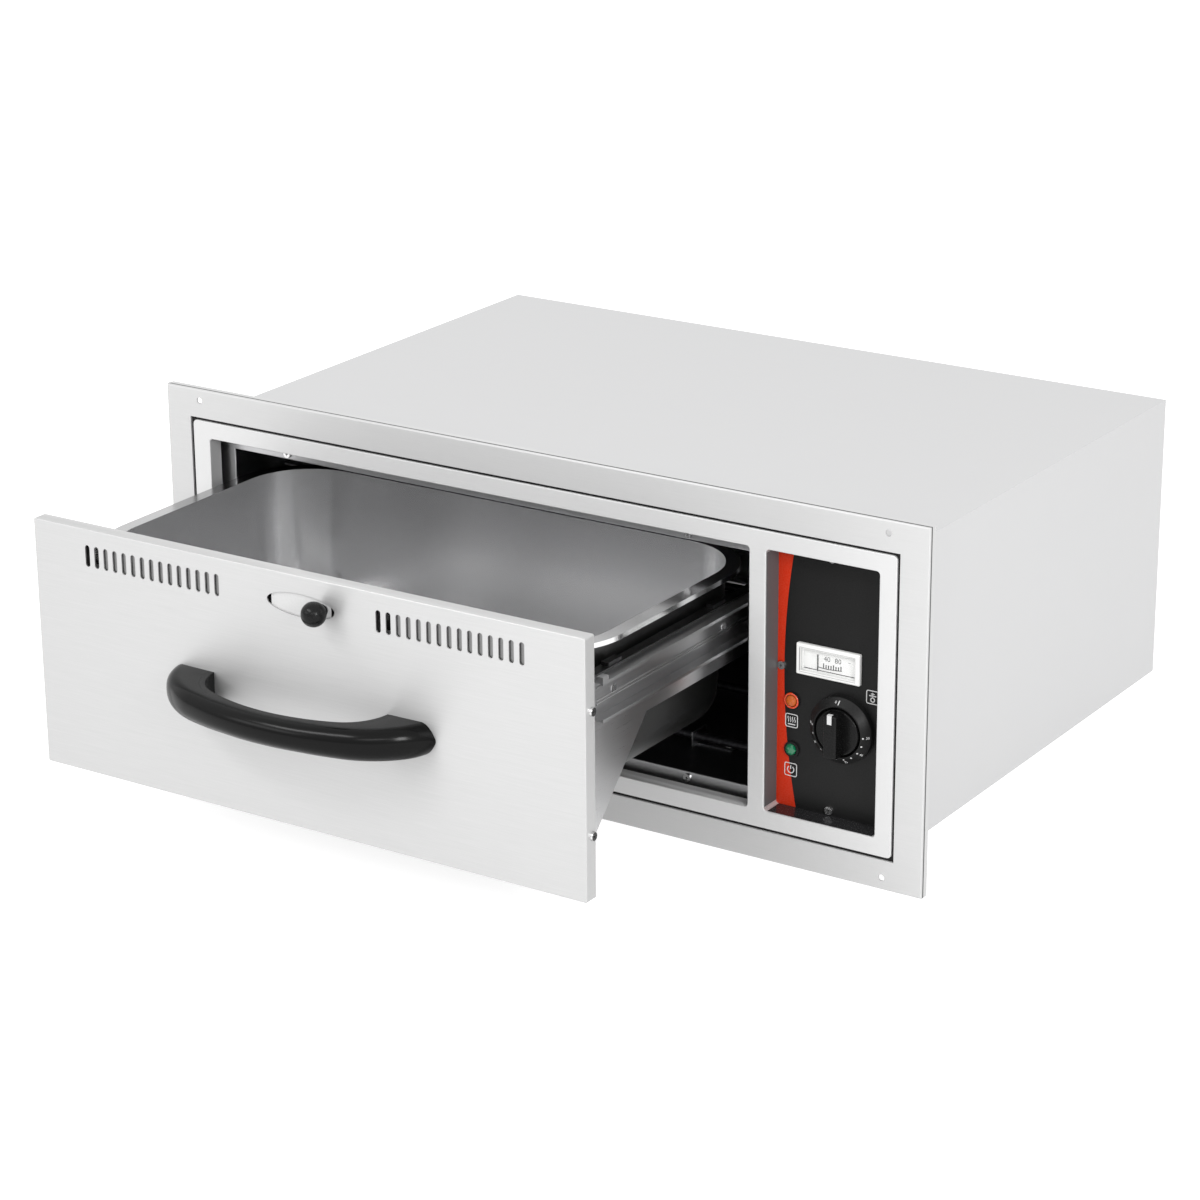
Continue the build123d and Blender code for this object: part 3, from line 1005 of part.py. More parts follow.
with BuildPart() as cabinet_screws:
    for x, z in LINER_SCREWS:
        pan_head_screw(x, LINER_FLANGE_Y, z, (0, 1, 0))
    for x, z in PANEL_SCREWS:
        pan_head_screw(x, PANEL_Y, z, (0, 1, 0))
    for x, z in BACK_SCREWS:
        pan_head_screw(x, CASING_BACK_Y, z, (0, -1, 0))
    for x, y in BRACKET_PLACES:
        pan_head_screw(x + BRACKET_SCREW_X, y + BRACKET_SCREW_Y, LINER_FLOOR_Z + BRACKET_SHEET, (0, 0, -1))
cabinet_screws.part.label = "cabinet_screws"
export_step(cabinet_screws.part, "parts/cabinet_screws.step")

# ================================================================ ball slides
MEMBER_TIP = SLIDE_THICKNESS - 1.0
CABINET_TIP = SLIDE_THICKNESS * 0.3
for side, name in SIDES:
    with BuildPart() as slide_cabinet:
        with BuildSketch(front_plane(SLIDE_FRONT_Y)):
            channel(side, SLIDE_THICKNESS, CABINET_TIP, CABINET_HALF, 0, -1)
        extrude(amount=-SLIDE_LENGTH)
        with BuildSketch(side_plane(slide_x(side, SLIDE_THICKNESS))):
            with Locations(*[(y, SLIDE_Z) for y in SLIDE_SCREW_YS]):
                Circle(SCREW_HOLE_RADIUS)
        extrude(amount=-side * SLIDE_SHEET, mode=Mode.SUBTRACT)
    slide_cabinet.part.label = f"slide_cabinet_{name}"
    export_step(slide_cabinet.part, f"parts/slide_cabinet_{name}.step")

    with BuildPart() as slide_drawer:
        with BuildSketch(front_plane(DRAWER_SLIDE_Y)):
            channel(side, 0, MEMBER_TIP, SLIDE_HALF, SLIDE_LIP, 1)
        extrude(amount=-SLIDE_LENGTH)
        # catch lug that stands above the front end
        lug_x = sorted((slide_x(side, MEMBER_TIP / 2), slide_x(side, MEMBER_TIP)))
        block(*lug_x, DRAWER_SLIDE_Y, DRAWER_SLIDE_Y + LUG_LENGTH,
              SLIDE_Z + SLIDE_HALF, SLIDE_Z + SLIDE_HALF + LUG_HEIGHT)
        with BuildSketch(side_plane(slide_x(side, 0))):
            with Locations(*[(y - DRAWER_OPEN, SLIDE_Z) for y in SLIDE_SCREW_YS]):
                Circle(SCREW_HOLE_RADIUS)
        extrude(amount=side * SLIDE_SHEET, mode=Mode.SUBTRACT)
    slide_drawer.part.label = f"slide_drawer_{name}"
    export_step(slide_drawer.part, f"parts/slide_drawer_{name}.step")

# Cages and balls run half as far as the drawer; at rest they sit where the two members still overlap.
BALL_Z = (DRAWER_RACE + CABINET_HALF) / 2
BALL_OUT = SLIDE_THICKNESS / 2
CAGE_WEB = SLIDE_SHEET + CAGE_PLAY
CAGE_TIP = BALL_OUT + BALL_RADIUS + 1
BALL_YS = [CAGE_Y + BALL_PITCH * (place + 0.8) for place in range(BALLS_PER_RACE)]
with BuildPart() as ball_cages:
    for side, _ in SIDES:
        web_x = sorted((slide_x(side, CAGE_WEB), slide_x(side, CAGE_WEB + CAGE_SHEET)))
        strip_x = sorted((slide_x(side, CAGE_WEB), slide_x(side, CAGE_TIP)))
        block(*web_x, CAGE_Y, CAGE_Y + CAGE_LENGTH, SLIDE_Z - BALL_Z, SLIDE_Z + BALL_Z)
        for up in (-1, 1):
            strip_z = SLIDE_Z + up * BALL_Z
            block(*strip_x, CAGE_Y, CAGE_Y + CAGE_LENGTH, strip_z - CAGE_SHEET / 2, strip_z + CAGE_SHEET / 2)
            with BuildSketch(Plane.XY.offset(strip_z - CAGE_SHEET)):
                with Locations(*[(slide_x(side, BALL_OUT), y) for y in BALL_YS]):
                    Circle(BALL_RADIUS + BALL_PLAY)
            extrude(amount=2 * CAGE_SHEET, mode=Mode.SUBTRACT)
ball_cages.part.label = "ball_cages"
export_step(ball_cages.part, "parts/ball_cages.step")

with BuildPart() as slide_balls:
    for side, _ in SIDES:
        for up in (-1, 1):
            with Locations(*[(slide_x(side, BALL_OUT), y, SLIDE_Z + up * BALL_Z) for y in BALL_YS]):
                Sphere(BALL_RADIUS)
slide_balls.part.label = "slide_balls"
export_step(slide_balls.part, "parts/slide_balls.step")


def slide_screw(side, out, y, run):
    """Low-head screw, its head's underside `out` from the carriage wall; run is +1 for an outward shank."""
    seat = Plane(origin=(slide_x(side, out), y, SLIDE_Z), z_dir=(side * run, 0, 0))
    with BuildSketch(seat) as head:
        Circle(SLIDE_SCREW_HEAD_RADIUS)
    extrude(head.sketch, amount=-SLIDE_SCREW_HEAD_HEIGHT)
    with BuildSketch(seat) as shank:
        Circle(SCREW_RADIUS)
    extrude(shank.sketch, amount=SCREW_LENGTH - 1)


with BuildPart() as slide_cabinet_screws:
    for side, _ in SIDES:
        for y in SLIDE_SCREW_YS:
            slide_screw(side, SLIDE_THICKNESS - SLIDE_SHEET, y, 1)
slide_cabinet_screws.part.label = "slide_cabinet_screws"
export_step(slide_cabinet_screws.part, "parts/slide_cabinet_screws.step")

with BuildPart() as slide_drawer_screws:
    for side, _ in SIDES:
        for y in SLIDE_SCREW_YS:
            slide_screw(side, SLIDE_SHEET, y - DRAWER_OPEN, -1)
slide_drawer_screws.part.label = "slide_drawer_screws"
export_step(slide_drawer_screws.part, "parts/slide_drawer_screws.step")

# ================================================================ drawer carriage and pan
for side, name in SIDES:
    with BuildPart() as carriage:
        with BuildSketch(side_plane(slide_x(side, 0))):
            with BuildLine():
                Polyline(
                    (FRONT_BACK_Y, CARRIAGE_TOP_Z),
                    (CARRIAGE_BACK_Y, CARRIAGE_TOP_Z),
                    (CARRIAGE_BACK_Y, CARRIAGE_BOTTOM_Z),
                    (FRONT_BACK_Y + GUSSET_TOP_REACH, CARRIAGE_BOTTOM_Z),
                    (FRONT_BACK_Y + GUSSET_FOOT, GUSSET_BOTTOM_Z),
                    (FRONT_BACK_Y, GUSSET_BOTTOM_Z),
                    close=True,
                )
            make_face()
            with Locations(*[(y - DRAWER_OPEN, SLIDE_Z) for y in SLIDE_SCREW_YS]):
                Circle(SCREW_HOLE_RADIUS, mode=Mode.SUBTRACT)
        extrude(amount=-side * CARRIAGE_SHEET)
        # shelf along the top, folded towards the pan, and the flange that meets the drawer front
        shelf_x = sorted((slide_x(side, 0), slide_x(side, -CARRIAGE_SHEET - CARRIAGE_SHELF)))
        block(*shelf_x, FRONT_BACK_Y, CARRIAGE_BACK_Y, CARRIAGE_TOP_Z - CARRIAGE_SHEET, CARRIAGE_TOP_Z)
        flange_x = sorted((slide_x(side, 0), slide_x(side, -TRAY_EDGE)))
        block(*flange_x, FRONT_BACK_Y, FRONT_BACK_Y + CARRIAGE_SHEET, GUSSET_BOTTOM_Z, CARRIAGE_TOP_Z)
        # small clips pressed up from the shelf
        clip_x = sorted((slide_x(side, -CARRIAGE_SHEET), slide_x(side, -CARRIAGE_SHELF)))
        for clip_y in CLIP_YS:
            block(*clip_x, clip_y - CLIP_LENGTH / 2, clip_y + CLIP_LENGTH / 2,
                  CARRIAGE_TOP_Z, CARRIAGE_TOP_Z + CLIP_HEIGHT)
    carriage.part.label = f"carriage_{name}"
    export_step(carriage.part, f"parts/carriage_{name}.step")

CROSSBAR_HALF = CARRIAGE_HALF - CARRIAGE_SHEET
with BuildPart() as carriage_crossbar:
    block(MOUTH_X - CROSSBAR_HALF, MOUTH_X + CROSSBAR_HALF, CARRIAGE_BACK_Y - CARRIAGE_SHEET, CARRIAGE_BACK_Y,
          CARRIAGE_BOTTOM_Z, CARRIAGE_TOP_Z - CARRIAGE_SHEET)
    block(MOUTH_X - CROSSBAR_HALF, MOUTH_X + CROSSBAR_HALF, CARRIAGE_BACK_Y - TRAY_EDGE, CARRIAGE_BACK_Y,
          CARRIAGE_BOTTOM_Z, CARRIAGE_BOTTOM_Z + CARRIAGE_SHEET)
carriage_crossbar.part.label = "carriage_crossbar"
export_step(carriage_crossbar.part, "parts/carriage_crossbar.step")

# Two angles carry the pan: one on the drawer's inner panel, one across the carriage behind the pan.
LEDGE_TOP_Z = PAN_RIM_Z - PAN_RIM_TURN
LEDGE_REAR_Y = PAN_Y + PAN_DEPTH_Y / 2 + PAN_RIM + LEDGE_GAP
LEDGE_X = (MOUTH_X - CROSSBAR_HALF, MOUTH_X + CROSSBAR_HALF)
with BuildPart() as pan_ledges:
    block(*LEDGE_X, FRONT_BACK_Y, FRONT_BACK_Y + LEDGE_DEPTH, LEDGE_TOP_Z - CARRIAGE_SHEET, LEDGE_TOP_Z)
    block(*LEDGE_X, FRONT_BACK_Y, FRONT_BACK_Y + CARRIAGE_SHEET, CARRIAGE_TOP_Z, LEDGE_TOP_Z)
    block(*LEDGE_X, LEDGE_REAR_Y - LEDGE_DEPTH, LEDGE_REAR_Y + CARRIAGE_SHEET,
          LEDGE_TOP_Z - CARRIAGE_SHEET, LEDGE_TOP_Z)
    block(*LEDGE_X, LEDGE_REAR_Y, LEDGE_REAR_Y + CARRIAGE_SHEET, CARRIAGE_TOP_Z, LEDGE_TOP_Z)
pan_ledges.part.label = "pan_ledges"
export_step(pan_ledges.part, "parts/pan_ledges.step")

with BuildPart() as pan_cavity:
    with BuildSketch(Plane.XY.offset(PAN_RIM_Z)):
        with Locations((MOUTH_X, PAN_Y)):
            RectangleRounded(PAN_LENGTH, PAN_DEPTH_Y, PAN_CORNER)
    extrude(amount=-(PAN_HEIGHT - PAN_SHEET), taper=PAN_TAPER)
    fillet(pan_cavity.faces().sort_by(Axis.Z)[0].edges(), PAN_BOTTOM_RADIUS - PAN_SHEET)

with BuildPart() as pan:
    with BuildSketch(Plane.XY.offset(PAN_RIM_Z)):
        with Locations((MOUTH_X, PAN_Y)):
            RectangleRounded(PAN_LENGTH + 2 * PAN_SHEET, PAN_DEPTH_Y + 2 * PAN_SHEET, PAN_CORNER + PAN_SHEET)
    extrude(amount=-PAN_HEIGHT, taper=PAN_TAPER)
    fillet(pan.faces().sort_by(Axis.Z)[0].edges(), PAN_BOTTOM_RADIUS)
    add(pan_cavity.part, mode=Mode.SUBTRACT)
    with BuildSketch(Plane.XY.offset(PAN_RIM_Z)):
        with Locations((MOUTH_X, PAN_Y)):
            RectangleRounded(PAN_LENGTH + 2 * PAN_RIM, PAN_DEPTH_Y + 2 * PAN_RIM, PAN_CORNER + PAN_RIM)
            RectangleRounded(PAN_LENGTH, PAN_DEPTH_Y, PAN_CORNER, mode=Mode.SUBTRACT)
    extrude(amount=-PAN_SHEET)
    with BuildSketch(Plane.XY.offset(PAN_RIM_Z)):
        with Locations((MOUTH_X, PAN_Y)):
            RectangleRounded(PAN_LENGTH + 2 * PAN_RIM, PAN_DEPTH_Y + 2 * PAN_RIM, PAN_CORNER + PAN_RIM)
            RectangleRounded(PAN_LENGTH + 2 * (PAN_RIM - PAN_SHEET), PAN_DEPTH_Y + 2 * (PAN_RIM - PAN_SHEET),
                             PAN_CORNER + PAN_RIM - PAN_SHEET, mode=Mode.SUBTRACT)
    extrude(amount=-PAN_RIM_TURN)
pan.part.label = "pan"
export_step(pan.part, "parts/pan.step")

# ================================================================ drawer front
SLOT_GROUPS = (MOUTH_X - SLOT_GROUP_X, MOUTH_X + SLOT_GROUP_X)
HANDLE_SCREWS = [(MOUTH_X + side * HANDLE_SCREW_X, HANDLE_Z) for side in (-1, 1)]
STUDS = [(MOUTH_X + offset_x, STUD_Z) for offset_x in STUD_OFFSETS]
FRONT_INNER_Y = FRONT_Y + FRONT_SHEET
with BuildPart() as drawer_front:
    with BuildSketch(front_plane(FRONT_Y)):
        with Locations((MOUTH_X, FRONT_Z)):
            RectangleRounded(FRONT_WIDTH, FRONT_HEIGHT, 1.6)
    extrude(amount=-FRONT_DEPTH)
    fillet(drawer_front.faces().sort_by(Axis.Y)[0].edges(), FRONT_EDGE_RADIUS)
    with BuildSketch(front_plane(FRONT_BACK_Y)):
        with Locations((MOUTH_X, FRONT_Z)):
            Rectangle(FRONT_WIDTH - 2 * FRONT_SHEET, FRONT_HEIGHT - 2 * FRONT_SHEET)
    extrude(amount=FRONT_DEPTH - FRONT_SHEET, mode=Mode.SUBTRACT)
    with BuildSketch(front_plane(FRONT_Y)):
        for group_x in SLOT_GROUPS:
            with Locations((group_x, SLOT_Z)):
                with GridLocations(SLOT_PITCH, 0, SLOT_COUNT, 1):
                    SlotOverall(SLOT_HEIGHT, SLOT_WIDTH, rotation=90)
        with Locations((MOUTH_X + WINDOW_X, WINDOW_Z)):
            Ellipse(WINDOW_WIDTH / 2, WINDOW_HEIGHT / 2)
        with Locations(*HANDLE_SCREWS):
            Circle(HANDLE_SCREW_RADIUS + TOUCH)
    extrude(amount=-FRONT_SHEET, mode=Mode.SUBTRACT)
    for side in (-1, 1):
        with BuildSketch(side_plane(MOUTH_X + side * FRONT_HALF_X)):
            with Locations(*[(FRONT_Y + SIDE_SCREW_SETBACK, z) for z in SIDE_SCREW_ZS]):
                Circle(SCREW_HOLE_RADIUS)
        extrude(amount=-side * FRONT_SHEET, mode=Mode.SUBTRACT)
drawer_front.part.label = "drawer_front"
export_step(drawer_front.part, "parts/drawer_front.step")

BACK_PANEL_WIDTH = FRONT_WIDTH - 2 * FRONT_SHEET
BACK_PANEL_HEIGHT = FRONT_HEIGHT - 2 * FRONT_SHEET
BACK_PANEL_Y = FRONT_BACK_Y - FRONT_SHEET
BACK_PANEL_FLANGE_Y = FRONT_Y + SIDE_SCREW_SETBACK - 3.2
VENT_WINDOW_WIDTH = SLOT_PITCH * SLOT_COUNT
with BuildPart() as drawer_back_panel:
    with BuildSketch(front_plane(FRONT_BACK_Y)):
        with Locations((MOUTH_X, FRONT_Z)):
            Rectangle(BACK_PANEL_WIDTH, BACK_PANEL_HEIGHT)
        for group_x in SLOT_GROUPS:
            with Locations((group_x, SLOT_Z)):
                Rectangle(VENT_WINDOW_WIDTH, SLOT_HEIGHT, mode=Mode.SUBTRACT)
    extrude(amount=FRONT_SHEET)
    for side in (-1, 1):
        flange_x = sorted((MOUTH_X + side * BACK_PANEL_WIDTH / 2,
                           MOUTH_X + side * (BACK_PANEL_WIDTH / 2 - FRONT_SHEET)))
        block(*flange_x, BACK_PANEL_FLANGE_Y, FRONT_BACK_Y,
              FRONT_Z - BACK_PANEL_HEIGHT / 2, FRONT_Z + BACK_PANEL_HEIGHT / 2)
        with BuildSketch(side_plane(MOUTH_X + side * BACK_PANEL_WIDTH / 2)):
            with Locations(*[(FRONT_Y + SIDE_SCREW_SETBACK, z) for z in SIDE_SCREW_ZS]):
                Circle(SCREW_HOLE_RADIUS)
        extrude(amount=-side * FRONT_SHEET, mode=Mode.SUBTRACT)
drawer_back_panel.part.label = "drawer_back_panel"
export_step(drawer_back_panel.part, "parts/drawer_back_panel.step")

with BuildPart() as side_screws:
    for side in (-1, 1):
        for z in SIDE_SCREW_ZS:
            pan_head_screw(MOUTH_X + side * FRONT_HALF_X, FRONT_Y + SIDE_SCREW_SETBACK, z, (-side, 0, 0))
side_screws.part.label = "side_screws"
export_step(side_screws.part, "parts/side_screws.step")

PAD_TOP_Z = SHUTTER_BOTTOM_Z - 4
PAD_HALF_X = FRONT_HALF_X - FRONT_SHEET * 2 - SCREW_LENGTH
with BuildPart() as drawer_insulation:
    block(MOUTH_X - PAD_HALF_X, MOUTH_X + PAD_HALF_X, FRONT_INNER_Y + INSULATION_GAP,
          BACK_PANEL_Y - INSULATION_GAP, FRONT_Z - BACK_PANEL_HEIGHT / 2 + INSULATION_GAP, PAD_TOP_Z)
    with BuildSketch(front_plane(FRONT_INNER_Y)):
        with Locations(*HANDLE_SCREWS):
            Circle(HANDLE_SCREW_RADIUS * 2 + 1)
    extrude(amount=-FRONT_DEPTH, mode=Mode.SUBTRACT)
drawer_insulation.part.label = "drawer_insulation"
export_step(drawer_insulation.part, "parts/drawer_insulation.step")

# ---------------------------------------------------------------- vent shutter
SHUTTER_LEFT_X = SLOT_GROUPS[0] - SLOT_PITCH * (SLOT_COUNT - 1) / 2 - SHUTTER_END_LAP
SHUTTER_RIGHT_X = SLOT_GROUPS[1] + SLOT_PITCH * (SLOT_COUNT - 1) / 2 + SHUTTER_TRAVEL + SHUTTER_END_LAP
STEM_X = MOUTH_X + KNOB_STEM_X
BLEED_WIDTH = SLOT_PITCH + SLOT_WIDTH
with BuildPart() as vent_shutter:
    block(SHUTTER_LEFT_X, SHUTTER_RIGHT_X, SHUTTER_Y, SHUTTER_BACK_Y, SHUTTER_BOTTOM_Z, SHUTTER_TOP_Z)
    with BuildSketch(front_plane(SHUTTER_Y)):
        for group_x in SLOT_GROUPS:
            with Locations((group_x + SHUTTER_TRAVEL, SLOT_Z)):
                with GridLocations(SLOT_PITCH, 0, SLOT_COUNT, 1):
                    SlotOverall(SLOT_HEIGHT, SLOT_WIDTH, rotation=90)
            # the first two slots stay open as a bleed when the shutter is closed
            first_x = group_x - SLOT_PITCH * (SLOT_COUNT - 1) / 2
            with Locations((first_x + SLOT_PITCH / 2, SLOT_Z)):
                Rectangle(BLEED_WIDTH, SLOT_HEIGHT + 1)
        # dark gaps at both ends of the oval window
        with Locations((MOUTH_X + WINDOW_X - WINDOW_WIDTH / 2, WINDOW_Z), (STEM_X + 9.5, WINDOW_Z)):
            SlotOverall(WINDOW_HEIGHT, 6.4, rotation=90)
        # guide slots for the studs
        for stud_x, stud_z in STUDS:
            with Locations((stud_x + SHUTTER_TRAVEL / 2, stud_z)):
                SlotOverall(SHUTTER_TRAVEL + 2 * (STUD_RADIUS + CLEARANCE), 2 * (STUD_RADIUS + CLEARANCE))
    extrude(amount=-SHUTTER_SHEET, mode=Mode.SUBTRACT)
    with BuildSketch(front_plane(SHUTTER_Y)):
        with Locations((STEM_X, WINDOW_Z + 1)):
            Circle(KNOB_STEM_RADIUS)
    extrude(amount=SHUTTER_SETBACK + KNOB_BALL_REACH)
vent_shutter.part.label = "vent_shutter"
export_step(vent_shutter.part, "parts/vent_shutter.step")

with BuildPart() as shutter_knob:
    with Locations((STEM_X, FRONT_Y - KNOB_BALL_REACH, WINDOW_Z + 1)):
        Sphere(KNOB_BALL_RADIUS)
    with BuildSketch(front_plane(FRONT_Y - 1.5)):
        with Locations((STEM_X, WINDOW_Z + 1)):
            Circle(KNOB_STEM_RADIUS + 2)
    extrude(amount=KNOB_BALL_RADIUS / 2)
    with BuildSketch(front_plane(FRONT_Y)):
        with Locations((STEM_X, WINDOW_Z + 1)):
            Circle(KNOB_STEM_RADIUS + 0.02)
    extrude(amount=KNOB_BALL_REACH + 0.2, mode=Mode.SUBTRACT)
shutter_knob.part.label = "shutter_knob"
export_step(shutter_knob.part, "parts/shutter_knob.step")

with BuildPart() as shutter_studs:
    for stud_x, stud_z in STUDS:
        with BuildSketch(front_plane(FRONT_INNER_Y)):
            with Locations((stud_x, stud_z)):
                Circle(2 * STUD_RADIUS)
        extrude(amount=-(SHUTTER_Y - TOUCH * 2 - FRONT_INNER_Y))
        with BuildSketch(front_plane(FRONT_INNER_Y)):
            with Locations((stud_x, stud_z)):
                Circle(STUD_RADIUS)
        extrude(amount=-(SHUTTER_BACK_Y + CLEARANCE - FRONT_INNER_Y))
        with BuildSketch(front_plane(SHUTTER_BACK_Y + CLEARANCE)):
            with Locations((stud_x, stud_z)):
                RegularPolygon(2 * STUD_RADIUS, 6)
        extrude(amount=-2 * SHUTTER_SHEET)
shutter_studs.part.label = "shutter_studs"
export_step(shutter_studs.part, "parts/shutter_studs.step")

# ---------------------------------------------------------------- handle
def arch(half, knee, reach):
    """One outline of the bow from foot to foot, seen from above; it closes along the drawer front."""
    feet = [(MOUTH_X + side * half, FRONT_Y) for side in (-1, 1)]
    knees = [(MOUTH_X + side * knee[0], FRONT_Y - knee[1]) for side in (-1, 1)]
    crown = (MOUTH_X, FRONT_Y - reach)
    middle = ThreePointArc(knees[0], crown, knees[1])
    TangentArc(knees[0], feet[0], tangent=-(middle % 0))
    TangentArc(knees[1], feet[1], tangent=middle % 1)
    Line(feet[0], feet[1])


def waisted_outline():
    """Front view of the bow: full height at the feet, drawn in a little at the middle."""
    for up in (-1, 1):
        ends = [(MOUTH_X + side * HANDLE_OUTER_HALF, HANDLE_Z + up * HANDLE_HEIGHT / 2) for side in (-1, 1)]
        ThreePointArc(ends[0], (MOUTH_X, HANDLE_Z + up * (HANDLE_HEIGHT / 2 - HANDLE_WAIST)), ends[1])
    for side in (-1, 1):
        end_x = MOUTH_X + side * HANDLE_OUTER_HALF
        Line((end_x, HANDLE_Z - HANDLE_HEIGHT / 2), (end_x, HANDLE_Z + HANDLE_HEIGHT / 2))


LINER_KNEE = (HANDLE_INNER_KNEE[0] + HANDLE_LINER * 0.35, HANDLE_INNER_KNEE[1] + HANDLE_LINER * 0.94)
HANDLE_BOTTOM_Z = HANDLE_Z - HANDLE_HEIGHT / 2
with BuildPart() as handle_grip:
    with BuildSketch(Plane.XY.offset(HANDLE_BOTTOM_Z)):
        with BuildLine():
            arch(HANDLE_OUTER_HALF, HANDLE_OUTER_KNEE, HANDLE_OUTER_REACH)
        make_face()
        with BuildLine():
            arch(HANDLE_INNER_HALF + HANDLE_LINER, LINER_KNEE, HANDLE_INNER_REACH + HANDLE_LINER)
        make_face(mode=Mode.SUBTRACT)
    extrude(amount=HANDLE_HEIGHT)
    with BuildSketch(front_plane(FRONT_Y)):
        with BuildLine():
            waisted_outline()
        make_face()
    extrude(amount=HANDLE_OUTER_REACH, mode=Mode.INTERSECT)
    outer_edges = [
        edge for edge in handle_grip.edges()
        if (abs((edge @ 0.5).X - MOUTH_X) > HANDLE_INNER_HALF + HANDLE_LINER / 2
            or (edge @ 0.5).Y < FRONT_Y - HANDLE_INNER_REACH - HANDLE_LINER * 2)
        and (edge @ 0.5).Y < FRONT_Y - 5 and abs((edge @ 0.5).Z - HANDLE_Z) > HANDLE_HEIGHT / 3
    ]
    fillet(outer_edges, HANDLE_EDGE_RADIUS)
    with BuildSketch(front_plane(FRONT_Y)):
        with Locations(*HANDLE_SCREWS):
            Circle(HANDLE_SCREW_RADIUS)
    extrude(amount=HANDLE_SCREW_LENGTH - FRONT_SHEET + 1, mode=Mode.SUBTRACT)
handle_grip.part.label = "handle_grip"
export_step(handle_grip.part, "parts/handle_grip.step")

with BuildPart() as handle_liner:
    with BuildSketch(Plane.XY.offset(HANDLE_BOTTOM_Z)):
        with BuildLine():
            arch(HANDLE_INNER_HALF + HANDLE_LINER, LINER_KNEE, HANDLE_INNER_REACH + HANDLE_LINER)
        make_face()
        with BuildLine():
            arch(HANDLE_INNER_HALF, HANDLE_INNER_KNEE, HANDLE_INNER_REACH)
        make_face(mode=Mode.SUBTRACT)
    extrude(amount=HANDLE_HEIGHT)
    with BuildSketch(front_plane(FRONT_Y)):
        with BuildLine():
            waisted_outline()
        make_face()
    extrude(amount=HANDLE_OUTER_REACH, mode=Mode.INTERSECT)
handle_liner.part.label = "handle_liner"
export_step(handle_liner.part, "parts/handle_liner.step")

with BuildPart() as handle_screws:
    for x, z in HANDLE_SCREWS:
        seat = front_plane(FRONT_INNER_Y)
        with BuildSketch(seat):
            with Locations((x, z)):
                Circle(HANDLE_SCREW_RADIUS)
        extrude(amount=HANDLE_SCREW_LENGTH)
        with BuildSketch(seat):
            with Locations((x, z)):
                Circle(HANDLE_SCREW_RADIUS * 2)
        extrude(amount=-HANDLE_SCREW_RADIUS, taper=12)
handle_screws.part.label = "handle_screws"
export_step(handle_screws.part, "parts/handle_screws.step")
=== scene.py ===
import bpy
import bmesh
import json
import math
from mathutils import Matrix, Vector


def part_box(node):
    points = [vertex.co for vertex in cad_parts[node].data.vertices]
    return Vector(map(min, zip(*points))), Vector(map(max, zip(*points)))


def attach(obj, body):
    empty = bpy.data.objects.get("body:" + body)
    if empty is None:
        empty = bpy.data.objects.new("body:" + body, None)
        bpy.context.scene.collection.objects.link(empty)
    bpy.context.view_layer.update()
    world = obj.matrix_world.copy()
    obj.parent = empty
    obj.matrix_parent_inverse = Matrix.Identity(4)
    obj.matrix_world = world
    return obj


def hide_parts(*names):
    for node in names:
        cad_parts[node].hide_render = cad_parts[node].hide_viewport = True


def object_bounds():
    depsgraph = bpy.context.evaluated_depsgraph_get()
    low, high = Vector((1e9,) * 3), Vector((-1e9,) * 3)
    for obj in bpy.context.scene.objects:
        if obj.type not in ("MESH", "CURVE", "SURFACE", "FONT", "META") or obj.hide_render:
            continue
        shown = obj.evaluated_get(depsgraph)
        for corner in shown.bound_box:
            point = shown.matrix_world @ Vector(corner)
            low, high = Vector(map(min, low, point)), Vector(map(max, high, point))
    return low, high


# Built-in warming drawer, in the CAD's frame: +X right, +Y back into the cabinet, +Z up.
# The pieces are drawn in millimetres, and mesh_of turns them into metres.

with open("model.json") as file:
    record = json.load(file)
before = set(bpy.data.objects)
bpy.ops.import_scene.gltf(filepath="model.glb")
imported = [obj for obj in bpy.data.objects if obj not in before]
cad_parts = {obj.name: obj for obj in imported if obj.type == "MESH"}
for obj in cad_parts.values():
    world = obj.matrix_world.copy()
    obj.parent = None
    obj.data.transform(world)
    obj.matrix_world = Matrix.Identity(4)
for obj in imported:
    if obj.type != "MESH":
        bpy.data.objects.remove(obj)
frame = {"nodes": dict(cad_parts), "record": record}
nodes = frame["nodes"]
cad_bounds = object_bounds()
MM = 0.001

# Places in the CAD that the pieces line up with, in millimetres
MOUTH_X = -56.5
FRONT_Y = -228.6
FRONT_TOP_Z = 104.0
PANEL_Y = 20.0
LAMP_X = 240.9
AMBER_Z = -19.1
GREEN_Z = -60.5
KNOB_CENTRE = (287.9, -33.0)
WINDOW_CENTRE = (MOUTH_X + 4.1, FRONT_TOP_Z - 24.0)

# ---------------------------------------------------------------- camera and studio
# place and reach in metres, turn in degrees, lens and sensor in millimetres
CAMERA_PLACE = (1.54169, -2.24414, 0.99801)
CAMERA_TURN = (70.32647, 0.37101, 33.07002)
CAMERA_LENS = 106.216
CAMERA_SENSOR = 36.0
CAMERA_REACH = 50.0
# height, from the horizon to straight above, and the tent's level there
TENT_TONES = [(0.0, 0.66), (0.2, 0.82), (0.45, 0.94), (0.7, 1.0), (1.0, 1.0)]
TENT_STRENGTH = 1.42
FLOOR_REACH = 12.0
FLOOR_GAP = 0.0005
FLOOR_GREY = 0.46
FLOOR_GLOW = 0.82
# name, place and target in metres, length and width in metres, power in watts
AREA_LIGHTS = (
    ("key", (-0.9, -2.4, 2.4), (-0.1, -0.2, 0.0), (2.2, 0.45), 42),
    ("corner", (2.2, -1.45, 1.05), (-0.2, 0.0, 0.05), (0.5, 0.8), 30),
    ("band", (1.11, -2.25, 1.27), (-0.05, -0.25, 0.0), (1.2, 0.2), 6),
    ("low_left", (-1.5, -2.3, 1.05), (0.0, -0.1, 0.05), (1.3, 0.6), 7),
)


